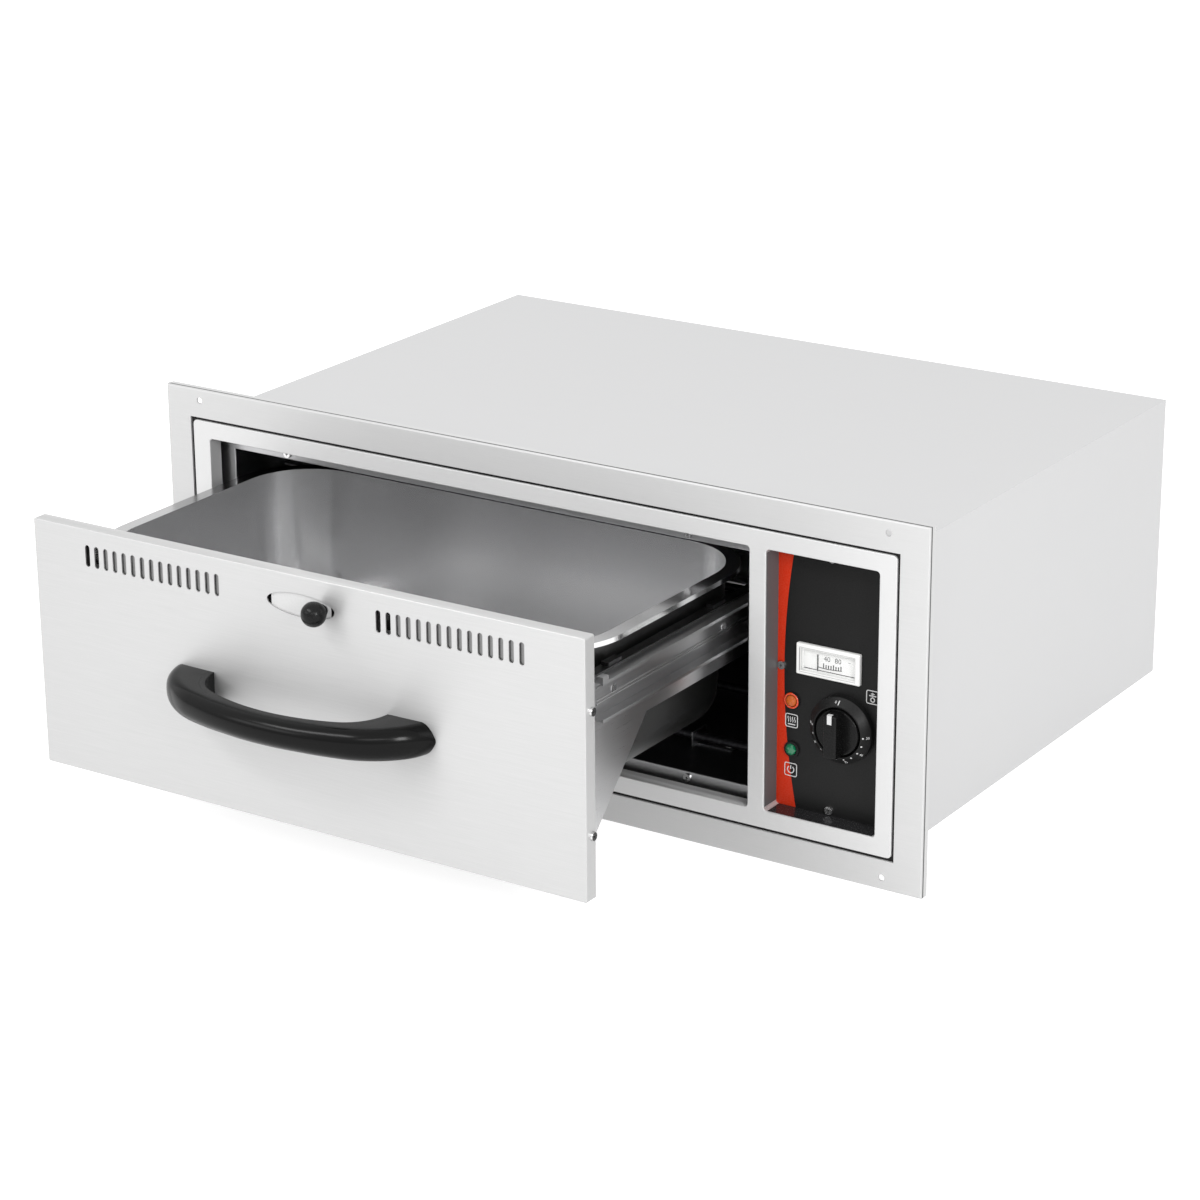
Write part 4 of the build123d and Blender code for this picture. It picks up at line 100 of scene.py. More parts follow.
def make_camera():
    """The photograph's view, fitted from the straight edges of the trim, the casing and the drawer front."""
    data = bpy.data.cameras.new("camera")
    data.lens = CAMERA_LENS
    data.sensor_width = CAMERA_SENSOR
    data.clip_end = CAMERA_REACH
    camera = bpy.data.objects.new("camera", data)
    camera.location = CAMERA_PLACE
    camera.rotation_euler = [math.radians(angle) for angle in CAMERA_TURN]
    bpy.context.scene.collection.objects.link(camera)
    bpy.context.scene.camera = camera


def area_light(name, place, target, size, power):
    """A white rectangular light that faces its target."""
    data = bpy.data.lights.new(name, "AREA")
    data.shape = "RECTANGLE"
    data.size, data.size_y = size
    data.energy = power
    lamp = bpy.data.objects.new(name, data)
    lamp.location = place
    direction = Vector(target) - Vector(place)
    lamp.rotation_euler = direction.to_track_quat("-Z", "Y").to_euler()
    bpy.context.scene.collection.objects.link(lamp)


def make_world():
    """A white tent that darkens a little towards the horizon, where it gives edges their tone."""
    world = bpy.data.worlds.new("studio")
    bpy.context.scene.world = world
    world.use_nodes = True
    tree = world.node_tree
    background = tree.nodes["Background"]
    place = tree.nodes.new("ShaderNodeTexCoord")
    split = tree.nodes.new("ShaderNodeSeparateXYZ")
    tree.links.new(place.outputs["Generated"], split.inputs["Vector"])
    shade = ramp(tree, split.outputs["Z"], TENT_TONES)
    tree.links.new(shade.outputs["Color"], background.inputs["Color"])
    background.inputs["Strength"].default_value = TENT_STRENGTH


def make_floor():
    """A plain pale floor that glows a little, so that it meets the tent without a line."""
    mesh = bpy.data.meshes.new("floor")
    floor_z = cad_bounds[0][2] - FLOOR_GAP
    corners = [(u, v, floor_z) for u, v in rectangle(-FLOOR_REACH, FLOOR_REACH, -FLOOR_REACH, FLOOR_REACH)]
    mesh.from_pydata(corners, [], [(0, 1, 2, 3)])
    floor = bpy.data.objects.new("floor", mesh)
    bpy.context.scene.collection.objects.link(floor)
    material, _, shader = new_material("floor_white")
    shader.inputs["Base Color"].default_value = (*grey(FLOOR_GREY), 1)
    shader.inputs["Roughness"].default_value = 0.9
    shader.inputs["Specular IOR Level"].default_value = 0.0
    shader.inputs["Emission Color"].default_value = (1, 1, 1, 1)
    shader.inputs["Emission Strength"].default_value = FLOOR_GLOW
    mesh.materials.append(material)


# ---------------------------------------------------------------- materials
# sockets of a mix node that carry colours
MIX_A, MIX_B, MIX_RESULT = 6, 7, 2
# grain of a finish: how often it changes along each axis
ALONG_X = (4, 500, 500)
ALONG_Y = (500, 4, 500)
EVEN = (1, 1, 1)
FINE = (200, 200, 200)
SPECKLED = (60, 60, 60)
# depths behind the trim's front, in metres, where painted shade darkens the bend of its folded hem
TRIM_HEM = (0.0021, 0.0036)
HEM_SPAN = 0.01
HEM_EDGE = 0.03
HEM_SHADE = 0.12
BRUSHED_TURN = 0.25


def grey(level):
    return (level, level, level)


def new_material(name):
    """A material with one principled shader: (material, node tree, shader)."""
    material = bpy.data.materials.new(name)
    material.use_nodes = True
    tree = material.node_tree
    tree.nodes.clear()
    output = tree.nodes.new("ShaderNodeOutputMaterial")
    shader = tree.nodes.new("ShaderNodeBsdfPrincipled")
    tree.links.new(shader.outputs["BSDF"], output.inputs["Surface"])
    return material, tree, shader


def stretched_noise(tree, scale, size, detail=3.0, rough=0.5):
    """Noise in object coordinates, stretched by a scale for each axis."""
    place = tree.nodes.new("ShaderNodeTexCoord")
    mapping = tree.nodes.new("ShaderNodeMapping")
    mapping.inputs["Scale"].default_value = scale
    noise = tree.nodes.new("ShaderNodeTexNoise")
    noise.inputs["Scale"].default_value = size
    noise.inputs["Detail"].default_value = detail
    noise.inputs["Roughness"].default_value = rough
    tree.links.new(place.outputs["Object"], mapping.inputs["Vector"])
    tree.links.new(mapping.outputs["Vector"], noise.inputs["Vector"])
    return noise


def ramp(tree, source, stops):
    """A colour ramp of (position, level or colour) stops."""
    node = tree.nodes.new("ShaderNodeValToRGB")
    elements = node.color_ramp.elements
    while len(elements) < len(stops):
        elements.new(0.5)
    for element, (position, value) in zip(elements, stops):
        element.position = position
        colour = value if isinstance(value, tuple) else grey(value)
        element.color = (*colour, 1)
    tree.links.new(source, node.inputs["Fac"])
    return node


def tone_stops(tone, change, low, high):
    """Two stops of a ramp, one a change darker than the tone and one a change lighter."""
    darker = tuple(max(0.0, level - change) for level in tone)
    lighter = tuple(min(1.0, level + change) for level in tone)
    return [(low, darker), (high, lighter)]


def add_bump(tree, shader, source, strength, distance):
    """Raises the surface by a source, at most by a distance in metres."""
    bump = tree.nodes.new("ShaderNodeBump")
    bump.inputs["Strength"].default_value = strength
    bump.inputs["Distance"].default_value = distance
    tree.links.new(source, bump.inputs["Height"])
    tree.links.new(bump.outputs["Normal"], shader.inputs["Normal"])


def painted_hem_shade(tree, tint, start, end):
    """Painted shade at the bend of a folded hem: the tone drops between two depths behind the front, in metres.
    """
    place = tree.nodes.new("ShaderNodeTexCoord")
    split = tree.nodes.new("ShaderNodeSeparateXYZ")
    tree.links.new(place.outputs["Object"], split.inputs["Vector"])
    span = tree.nodes.new("ShaderNodeMapRange")
    span.inputs["From Min"].default_value = 0.0
    span.inputs["From Max"].default_value = HEM_SPAN
    tree.links.new(split.outputs["Y"], span.inputs["Value"])
    first, last = start / HEM_SPAN, end / HEM_SPAN
    stops = [(first - HEM_EDGE, 1.0), (first, HEM_SHADE), (last, HEM_SHADE), (last + HEM_EDGE, 1.0)]
    shade = ramp(tree, span.outputs["Result"], stops)
    mix = tree.nodes.new("ShaderNodeMix")
    mix.data_type = "RGBA"
    mix.blend_type = "MULTIPLY"
    mix.inputs[0].default_value = 1.0
    tree.links.new(tint, mix.inputs[MIX_A])
    tree.links.new(shade.outputs["Color"], mix.inputs[MIX_B])
    return mix.outputs[MIX_RESULT]


def steel(name, tone, rough, grain=EVEN, size=6.0, contrast=0.02, bump=0.03, spread=0.03, aniso=0.0,
          metallic=1.0, hem=None):
    """Sheet steel: long thin streaks in tone, roughness and height along the way it was brushed."""
    material, tree, shader = new_material(name)
    streaks = stretched_noise(tree, grain, size, detail=4.0, rough=0.65)
    tint = ramp(tree, streaks.outputs["Fac"], tone_stops(tone, contrast, 0.3, 0.7)).outputs["Color"]
    # painted shade at the bend of the hem
    if hem:
        tint = painted_hem_shade(tree, tint, *hem)
    tree.links.new(tint, shader.inputs["Base Color"])
    roughness = ramp(tree, streaks.outputs["Fac"], [(0.3, rough - spread), (0.7, rough + spread)])
    tree.links.new(roughness.outputs["Color"], shader.inputs["Roughness"])
    shader.inputs["Metallic"].default_value = metallic
    shader.inputs["Anisotropic"].default_value = aniso
    shader.inputs["Anisotropic Rotation"].default_value = BRUSHED_TURN
    add_bump(tree, shader, streaks.outputs["Fac"], bump, distance=0.0002)
    return material


def plastic(name, tone, rough, coat=0.0, size=900.0, bump=0.05, variation=0.01, specular=0.5):
    """Moulded plastic: fine surface texture and slight variation in tone."""
    material, tree, shader = new_material(name)
    texture = stretched_noise(tree, EVEN, size, detail=2.0)
    colour = ramp(tree, texture.outputs["Fac"], tone_stops(tone, variation, 0.35, 0.65))
    tree.links.new(colour.outputs["Color"], shader.inputs["Base Color"])
    roughness = ramp(tree, texture.outputs["Fac"], [(0.3, rough * 0.9), (0.7, min(1.0, rough * 1.12))])
    tree.links.new(roughness.outputs["Color"], shader.inputs["Roughness"])
    shader.inputs["Specular IOR Level"].default_value = specular
    shader.inputs["Coat Weight"].default_value = coat
    shader.inputs["Coat Roughness"].default_value = 0.05
    add_bump(tree, shader, texture.outputs["Fac"], bump, distance=0.0001)
    return material


def cover_glass(name):
    """Clear cover glass that shows little more than its reflections."""
    material, tree, shader = new_material(name)
    noise = stretched_noise(tree, EVEN, 60.0)
    roughness = ramp(tree, noise.outputs["Fac"], [(0.3, 0.02), (0.7, 0.06)])
    tree.links.new(roughness.outputs["Color"], shader.inputs["Roughness"])
    shader.inputs["Base Color"].default_value = (0.97, 0.98, 0.98, 1)
    shader.inputs["Alpha"].default_value = 0.06
    return material


STEELS = {
    # the trim's hem gets painted shade at its bend
    "trim_steel": dict(tone=grey(0.465), rough=0.50, grain=ALONG_X, aniso=0.8, metallic=0.45, hem=TRIM_HEM),
    "face_steel": dict(tone=grey(0.53), rough=0.50, grain=ALONG_X, aniso=0.8, metallic=0.45),
    "front_steel": dict(tone=grey(0.462), rough=0.44, grain=ALONG_X, contrast=0.025, aniso=0.8, metallic=0.75),
    "galvanised_steel": dict(tone=(0.452, 0.452, 0.455), rough=0.50, grain=(6, 6, 6), size=4.0,
                             contrast=0.004, bump=0.01, metallic=0.45),
    "liner_steel": dict(tone=(0.13, 0.13, 0.135), rough=0.34, grain=ALONG_Y),
    "pan_steel": dict(tone=(0.58, 0.58, 0.585), rough=0.225, grain=FINE, contrast=0.003, bump=0.001,
                      spread=0.004, metallic=0.95),
    # painted highlight on the rim and painted shade on its flat flange: lighter and darker copies of the pan's
    # steel
    "pan_rim_highlight": dict(tone=(0.66, 0.66, 0.665), rough=0.14, grain=FINE, contrast=0.003, bump=0.001, spread=0.01),
    "pan_flange_shade": dict(tone=(0.40, 0.40, 0.402), rough=0.16, grain=FINE, contrast=0.003, bump=0.001,
                       spread=0.01),
    # painted shade: the pan's outer wall and underside, dark as if shadowed by the rim
    "pan_outside_shade": dict(tone=grey(0.10), rough=0.36, grain=ALONG_X),
    "shaded_steel": dict(tone=(0.10, 0.10, 0.102), rough=0.30, grain=ALONG_Y),
    # painted shade in the screws' recesses and on the heads of the side screws
    "screw_recess_shade": dict(tone=grey(0.05), rough=0.40, grain=ALONG_X),
    "carriage_steel": dict(tone=(0.52, 0.52, 0.525), rough=0.30, grain=ALONG_Y, aniso=0.5),
    "zinc_steel": dict(tone=(0.40, 0.40, 0.405), rough=0.33, grain=(60, 2, 60), contrast=0.015, bump=0.0,
                       spread=0.005, aniso=0.4),
    # darker than the front's steel: painted shade on the shutter that the slots show
    "shutter_steel": dict(tone=grey(0.20), rough=0.40, grain=ALONG_X),
    "bracket_steel": dict(tone=(0.36, 0.36, 0.37), rough=0.35, grain=ALONG_X),
    "element_sheath": dict(tone=(0.05, 0.05, 0.055), rough=0.5, grain=(30, 30, 30), size=10.0),
    "screw_steel": dict(tone=grey(0.62), rough=0.22, grain=SPECKLED, size=10.0),
    "ball_steel": dict(tone=(0.62, 0.62, 0.63), rough=0.08, grain=SPECKLED, size=10.0, bump=0.0),
    "copper_tube": dict(tone=(0.60, 0.33, 0.21), rough=0.3, grain=SPECKLED, size=10.0),
}
PLASTICS = {
    "mineral_wool": dict(tone=(0.55, 0.50, 0.34), rough=0.95, size=120.0, bump=0.8, variation=0.08),
    "ceramic": dict(tone=(0.62, 0.61, 0.57), rough=0.5, variation=0.02),
    "black_panel": dict(tone=grey(0.0075), rough=0.40, variation=0.0015, specular=0.16),
    "black_plastic": dict(tone=grey(0.008), rough=0.5, variation=0.0015, specular=0.15),
    "knob_black": dict(tone=grey(0.004), rough=0.25, variation=0.001, specular=0.15),
    "handle_black": dict(tone=grey(0.001), rough=0.20, bump=0.01, variation=0.0003, specular=0.14),
    "white_plastic": dict(tone=(0.62, 0.62, 0.61), rough=0.35, coat=0.2),
    "amber_lens": dict(tone=(0.36, 0.075, 0.003), rough=0.08, coat=0.12, variation=0.02, specular=0.3),
    "green_lens": dict(tone=(0.003, 0.115, 0.048), rough=0.08, coat=0.5, variation=0.003),
    "wire_sleeve": dict(tone=(0.50, 0.48, 0.40), rough=0.6, variation=0.03),
    "stripe_red": dict(tone=(0.42, 0.024, 0.006), rough=0.42, variation=0.008, specular=0.15),
    "print_white": dict(tone=grey(0.48), rough=0.5, variation=0.02, specular=0.2),
    "print_grey": dict(tone=grey(0.22), rough=0.5, specular=0.2),
    "print_black": dict(tone=grey(0.012), rough=0.5, variation=0.003, specular=0.1),
    "ring_red": dict(tone=(0.50, 0.045, 0.01), rough=0.2, coat=0.3),
    # painted reflection: the grey and black sheets in the control recess
    "painted_reflection_dark": dict(tone=(0.020, 0.020, 0.021), rough=0.25, variation=0.002),
    "painted_reflection_grey": dict(tone=(0.085, 0.085, 0.087), rough=0.45, variation=0.004, specular=0.3),
    "label_white": dict(tone=grey(0.42), rough=0.4, specular=0.3),
}


# ---------------------------------------------------------------- second finishes on the CAD's nodes, most of them painted light and shade
PAN_CENTRE = Vector((MOUTH_X, -67.2, 0.0))
PAN_WALL_TOP_Z = 75.0
PAN_RIM_LOW_Z = 74.5
LINER_FLANGE_Y = 24.0
CARRIAGE_TOP_Z = 44.0
CARRIAGE_FRONT_Y = -214.0
RECESS_SCREW_Y = (18.6, 19.6)
# limits for one part of a face's normal
DOWNWARD = -0.6
NOT_DOWNWARD = -0.2
LEVEL = 0.97
SQUARE_ON = 0.9


def finish_faces(node_name, finish, chosen):
    """Gives one node a second finish on the faces whose centre and normal the rule picks, in millimetres."""
    mesh = nodes[node_name].data
    mesh.materials.append(materials[finish])
    index = len(mesh.materials) - 1
    for polygon in mesh.polygons:
        if chosen(polygon.center / MM, polygon.normal):
            polygon.material_index = index


# faces that get the painted shade on the pan's outside
def outside_of_pan(centre, normal):
    away = centre - PAN_CENTRE
    outward = away.x * normal.x + away.y * normal.y > 0
    return centre.z < PAN_WALL_TOP_Z and (normal.z < DOWNWARD or outward)


def on_pan_rim(centre, normal):
    return centre.z > PAN_RIM_LOW_Z and normal.z > NOT_DOWNWARD


def on_pan_flange(centre, normal):
    return centre.z > PAN_RIM_LOW_Z and normal.z > LEVEL


def on_liner_flange(centre, normal):
    return centre.y < LINER_FLANGE_Y


def on_carriage_top(centre, normal):
    return centre.z > CARRIAGE_TOP_Z and centre.y > CARRIAGE_FRONT_Y


def on_screw_head(centre, normal):
    return abs(normal.x) > SQUARE_ON


def in_front_recess(centre, normal):
    return normal.y < -SQUARE_ON and RECESS_SCREW_Y[0] < centre.y < RECESS_SCREW_Y[1]


# all but the liner's zinc flange are painted light: shade on the pan's outside, its flange, the carriage tops
# and the screws, and a highlight on the pan's rim
SECOND_FINISHES = (
    ("pan", "pan_outside_shade", outside_of_pan),
    ("pan", "pan_rim_highlight", on_pan_rim),
    ("pan", "pan_flange_shade", on_pan_flange),
    ("liner", "zinc_steel", on_liner_flange),
    ("carriage_left", "shaded_steel", on_carriage_top),
    ("carriage_right", "shaded_steel", on_carriage_top),
    ("side_screws", "screw_recess_shade", on_screw_head),
    ("cabinet_screws", "screw_recess_shade", in_front_recess),
)


# ---------------------------------------------------------------- mesh helpers
def rectangle(left, right, low, high):
    return [(left, low), (right, low), (right, high), (left, high)]


def polar(centre, radius, turn):
    """The point at a distance from a centre, and at an angle in radians from +u towards +v."""
    return (centre[0] + radius * math.cos(turn), centre[1] + radius * math.sin(turn))


def arc(centre, radius, start, end, steps):
    """Points of an arc, angles in degrees from +u towards +v."""
    return [polar(centre, radius, math.radians(start + (end - start) * i / steps)) for i in range(steps + 1)]


def rounded_rectangle(centre, half, radius, steps):
    """Points of a rectangle with round corners; half is its half width and half height."""
    points = []
    for sign_u, sign_v, start in ((1, 1, 0), (-1, 1, 90), (-1, -1, 180), (1, -1, 270)):
        corner = (centre[0] + sign_u * (half[0] - radius), centre[1] + sign_v * (half[1] - radius))
        points += arc(corner, radius, start, start + 90, steps)
    return points


def on_front(u, v, depth):
    """Places a point seen from in front: u to the right, v up, depth back into the cabinet."""
    return (u, depth, v)


def page(origin, right, up, out):
    """Matrix of a page with given axes and origin."""
    matrix = Matrix.Identity(4)
    for column, axis in enumerate((Vector(right), Vector(up), Vector(out), Vector(origin))):
        for row in range(3):
            matrix[row][column] = axis[row]
    return matrix


def on_page(matrix):
    """Places a point on a page: u to the right, v up, depth out of it."""
    def place(u, v, depth):
        return matrix @ Vector((u, v, depth))
    return place


def vertices(builder, outline, depth, place=on_front):
    """One vertex for each point of an outline, all at one depth."""
    return [builder.verts.new(place(u, v, depth)) for u, v in outline]


def bridge(builder, loops, closed=False):
    """Joins each loop of vertices to the next with quads, and the last to the first when closed."""
    following = loops[1:] + loops[:1] if closed else loops[1:]
    for near, far in zip(loops, following):
        for index in range(len(near)):
            other = (index + 1) % len(near)
            builder.faces.new([near[index], near[other], far[other], far[index]])


def prism(builder, outline, front, back, place=on_front):
    """A closed outline of (u, v) points, made solid between two depths."""
    near, far = vertices(builder, outline, front, place), vertices(builder, outline, back, place)
    builder.faces.new(near)
    builder.faces.new(far[::-1])
    bridge(builder, [near, far])


def stroke(builder, points, width, front, back, place=on_front, closed=False):
    """A raised line: quads along it, so that any bend stays clean."""
    path = [Vector(p) for p in points]
    count = len(path)
    rails = []
    for index, point in enumerate(path):
        before = path[index - 1] if (closed or index) else point
        after = path[(index + 1) % count] if (closed or index < count - 1) else point
        along = (after - before).normalized()
        across = Vector((-along.y, along.x)) * (width / 2)
        left, right = point + across, point - across
        corners = [(left, front), (right, front), (right, back), (left, back)]
        rails.append([builder.verts.new(place(p.x, p.y, depth)) for p, depth in corners])
    bridge(builder, rails, closed)
    if not closed:
        builder.faces.new(rails[0][::-1])
        builder.faces.new(rails[-1])


def figure_mesh(text, size):
    """A thin mesh of the built-in plain typeface, centred on its origin, in millimetres."""
    curve = bpy.data.curves.new("figure", "FONT")
    curve.body = text
    curve.size = size
    curve.align_x = "CENTER"
    curve.align_y = "CENTER"
    curve.resolution_u = 3
    curve.extrude = 0.06
    holder = bpy.data.objects.new("figure", curve)
    bpy.context.scene.collection.objects.link(holder)
    bpy.context.view_layer.update()
    mesh = bpy.data.meshes.new_from_object(holder.evaluated_get(bpy.context.evaluated_depsgraph_get()))
    bpy.data.objects.remove(holder)
    bpy.data.curves.remove(curve)
    return mesh


def add_figures(builder, text, size, matrix):
    """Adds figures to the builder; the matrix is that of their page."""
    mesh = figure_mesh(text, size)
    start = len(builder.verts)
    builder.from_mesh(mesh)
    builder.verts.ensure_lookup_table()
    for vertex in builder.verts[start:]:
        vertex.co = matrix @ vertex.co
    bpy.data.meshes.remove(mesh)


def mesh_of(builder, name, smooth):
    """Turns a bmesh whose lengths are millimetres into a mesh in metres."""
    bmesh.ops.recalc_face_normals(builder, faces=builder.faces[:])
    mesh = bpy.data.meshes.new(name)
    bmesh.ops.scale(builder, vec=(MM, MM, MM), verts=builder.verts[:])
    builder.to_mesh(mesh)
    builder.free()
    for polygon in mesh.polygons:
        polygon.use_smooth = smooth
    return mesh


def new_piece(name, builder, body, slot, finish=None, smooth=False):
    """Makes a piece that rides on a body; its material is the finish if one is given, else that of the record's
    slot.
    """
    mesh = mesh_of(builder, name, smooth)
    piece = bpy.data.objects.new(name, mesh)
    bpy.context.scene.collection.objects.link(piece)
    mesh.materials.append(materials[finish or slot])
    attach(piece, body)
    return piece


def keep_sharp(piece, degrees):
    """Leaves the edges of a smooth piece that turn more than this sharp."""
    builder = bmesh.new()
    builder.from_mesh(piece.data)
    for edge in builder.edges:
        turned = len(edge.link_faces) == 2 and edge.calc_face_angle(0.0) > math.radians(degrees)
        edge.smooth = not turned
    builder.to_mesh(piece.data)
    builder.free()


# ---------------------------------------------------------------- control panel: stripe and pictograms
PRINT = 0.12
OVERPRINT_FRONT = PANEL_Y - PRINT * 1.6
OVERPRINT_BACK = PANEL_Y - PRINT * 0.2
STRIPE_LEFT_X = 219.5
STRIPE_HALF_Z = 116.5
STRIPE_WAIST = (233.3, 9.0)
STRIPE_BEND = 1200.0
STRIPE_STEPS = 40
HEAT_CENTRE = (240.5, -36.5)
POWER_CENTRE = (240.2, -78.3)
TEMPERATURE_CENTRE = (312.9, -2.05)
PICTOGRAM_HALF = 5.4
PICTOGRAM_CORNER = 1.5
FRAME_LINE = 0.7
WAVE_COLUMNS = (-3.0, -1.0, 1.0, 3.0)
WAVE_SWING = 0.38
WAVE_HEIGHT = 4.6
WAVE_FOOT = -1.3
WAVE_STEPS = 12


def make_stripe():
    """A printed strip down the left of the panel, waisted at the height of its screw."""
    builder = bmesh.new()
    edge = []
    for index in range(STRIPE_STEPS + 1):
        z = -STRIPE_HALF_Z + 2 * STRIPE_HALF_Z * index / STRIPE_STEPS
        edge.append((STRIPE_WAIST[0] + (z - STRIPE_WAIST[1]) ** 2 / STRIPE_BEND, z))
    outline = [(STRIPE_LEFT_X, -STRIPE_HALF_Z)] + edge + [(STRIPE_LEFT_X, STRIPE_HALF_Z)]
    prism(builder, outline, PANEL_Y - PRINT, PANEL_Y)
    new_piece("panel_stripe", builder, "cabinet", "amber_lens", "stripe_red")


def make_pictograms():
    """Three framed pictograms: heat, power and temperature."""
    builder = bmesh.new()

    def line(centre, points, width, closed=False):
        path = [(centre[0] + u, centre[1] + v) for u, v in points]
        stroke(builder, path, width, OVERPRINT_FRONT, OVERPRINT_BACK, closed=closed)

    border = rounded_rectangle((0, 0), (PICTOGRAM_HALF, PICTOGRAM_HALF), PICTOGRAM_CORNER, 5)
    for centre in (HEAT_CENTRE, POWER_CENTRE, TEMPERATURE_CENTRE):
        line(centre, border, FRAME_LINE, True)
    shares = [step / WAVE_STEPS for step in range(WAVE_STEPS + 1)]
    for column in WAVE_COLUMNS:
        wave = [(column + WAVE_SWING * math.sin(2 * math.pi * share), WAVE_FOOT + WAVE_HEIGHT * share)
                for share in shares]
        line(HEAT_CENTRE, wave, 0.55)
    line(HEAT_CENTRE, [(-3.4, -3.1), (3.4, -3.1)], 0.9)
    line(POWER_CENTRE, arc((0, 0), 2.9, 125, 415, 24), 0.8)
    line(POWER_CENTRE, [(0, 0.4), (0, 3.6)], 0.8)
    line(TEMPERATURE_CENTRE, [(0, 3.9), (0, -0.4)], 0.9)
    line(TEMPERATURE_CENTRE, arc((0, -2.1), 1.7, 90, 450, 20), 0.8)
    line(TEMPERATURE_CENTRE, [(-3.2, 1.2), (3.2, 1.2)], 0.8)
    line(TEMPERATURE_CENTRE, [(-1.6, 2.8), (1.6, 2.8)], 0.7)
    new_piece("panel_pictograms", builder, "cabinet", "white_plastic", "print_white")


# ---------------------------------------------------------------- lamps
LAMP_FRONT_Y = 18.2
LENS_SIDES = 12
# radius, depth and turn in facets of each ring of a lens, from its back to its front
LENS_RINGS = (
    (4.75, LAMP_FRONT_Y + 6.0, 0.0),
    (4.75, LAMP_FRONT_Y - 0.3, 0.0),
    (4.05, LAMP_FRONT_Y - 1.4, 0.5),
    (2.55, LAMP_FRONT_Y - 2.2, 0.0),
)
LENS_TIP_Y = LAMP_FRONT_Y - 2.5
COLLAR_SIDES = 48
# radius and depth of the points of the collar's section
COLLAR_SECTION = ((6.85, 19.6), (6.6, 18.15), (6.1, 17.75), (5.45, 17.75), (5.1, 18.1), (5.1, 18.6))


def faceted_lens(name, z, slot):
    """A moulded jewel: rings of flat facets, turned by half a facet from one ring to the next."""
    builder = bmesh.new()
    centre = (LAMP_X, z)
    loops = []
    for radius, depth, turn in LENS_RINGS:
        outline = [polar(centre, radius, 2 * math.pi * (i + turn) / LENS_SIDES) for i in range(LENS_SIDES)]
        loops.append(vertices(builder, outline, depth))
    tip = builder.verts.new(on_front(*centre, LENS_TIP_Y))
    base, girdle, crown, table = loops
    builder.faces.new(base[::-1])
    bridge(builder, [base, girdle])
    for i in range(LENS_SIDES):
        j = (i + 1) % LENS_SIDES
        builder.faces.new([girdle[i], girdle[j], crown[i]])
        builder.faces.new([girdle[j], crown[j], crown[i]])
        builder.faces.new([crown[i], table[j], table[i]])
        builder.faces.new([crown[i], crown[j], table[j]])
        builder.faces.new([table[i], table[j], tip])
    piece = new_piece(f"{name}_jewel", builder, "cabinet", slot)
    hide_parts(name)


def make_lamp_ring():
    """The amber lamp's coloured collar, which lies over its black holder."""
    builder = bmesh.new()
    loops = []
    for i in range(COLLAR_SIDES):
        turn = 2 * math.pi * i / COLLAR_SIDES
        section = [(polar((LAMP_X, AMBER_Z), radius, turn), depth) for radius, depth in COLLAR_SECTION]
        loops.append([builder.verts.new(on_front(u, v, depth)) for (u, v), depth in section])
    bridge(builder, loops, True)
    new_piece("amber_collar", builder, "cabinet", "amber_lens", "ring_red", True)


# ---------------------------------------------------------------- gauge
GAUGE_CENTRE = (274.05, 18.7)
GAUGE_PLATE_Y = 21.0
GAUGE_PRINT_Y = (GAUGE_PLATE_Y - 0.1, GAUGE_PLATE_Y + 0.02)
GAUGE_BASE = [(262.3, 13.3), (266.0, 12.9), (272.0, 12.75), (278.0, 13.0), (284.4, 13.7)]
GAUGE_SCALE = (268.1, 283.7)
GAUGE_STEPS = 7
GAUGE_FOOT_Z = 13.1
GAUGE_FOOT_RISE = 0.4
GAUGE_TALL, GAUGE_SHORT = 3.9, 2.925
GAUGE_TALL_TICKS = (0, 4, 7)
GAUGE_FIGURES = (("40", 271.2), ("80", 281.0))
GAUGE_FIGURE_SIZE = 6.0
GAUGE_FIGURE_Z = 20.9
GAUGE_DASH = [(290.0, 21.6), (292.2, 21.6)]
GAUGE_GLASS_Y = (16.42, 16.52)
# left, right, low and high side of the line printed round the glass
GAUGE_BORDER = (248.6, 298.7, 8.2, 28.6)
# a painted shadow along the left edge of the glass
GAUGE_LEFT_SHADOW = [(248.9, 9.0), (248.9, 28.0)]
# half width, half height and depth of the funnel's corners, round its wall
REVEAL_RINGS = ((24.3, 9.4, 18.65), (23.4, 8.6, 20.9), (24.1, 9.3, 20.9), (24.9, 10.0, 18.65))


def make_gauge_print():
    """The gauge's scale, and the grey lines that its window shows, one of them a painted shadow along the left
    edge of the glass.
    """
    builder = bmesh.new()
    stroke(builder, GAUGE_BASE, 0.7, *GAUGE_PRINT_Y)
    for index in range(GAUGE_STEPS + 1):
        share = index / GAUGE_STEPS
        u = GAUGE_SCALE[0] + (GAUGE_SCALE[1] - GAUGE_SCALE[0]) * share
        foot = GAUGE_FOOT_Z + GAUGE_FOOT_RISE * share
        tall = GAUGE_TALL if index in GAUGE_TALL_TICKS else GAUGE_SHORT
        stroke(builder, [(u, foot), (u, foot + tall)], 0.95, *GAUGE_PRINT_Y)
    for text, u in GAUGE_FIGURES:
        sheet = page((u, GAUGE_PLATE_Y, GAUGE_FIGURE_Z), (1, 0, 0), (0, 0, 1), (0, -1, 0))
        add_figures(builder, text, GAUGE_FIGURE_SIZE, sheet)
    new_piece("gauge_print", builder, "cabinet", "black_plastic", "print_black")
    builder = bmesh.new()
    stroke(builder, rectangle(*GAUGE_BORDER), 0.3, *GAUGE_GLASS_Y, closed=True)
    stroke(builder, GAUGE_LEFT_SHADOW, 0.7, *GAUGE_GLASS_Y)
    stroke(builder, GAUGE_DASH, 0.5, *GAUGE_PRINT_Y)
    new_piece("gauge_window_line", builder, "cabinet", "black_plastic", "print_grey")


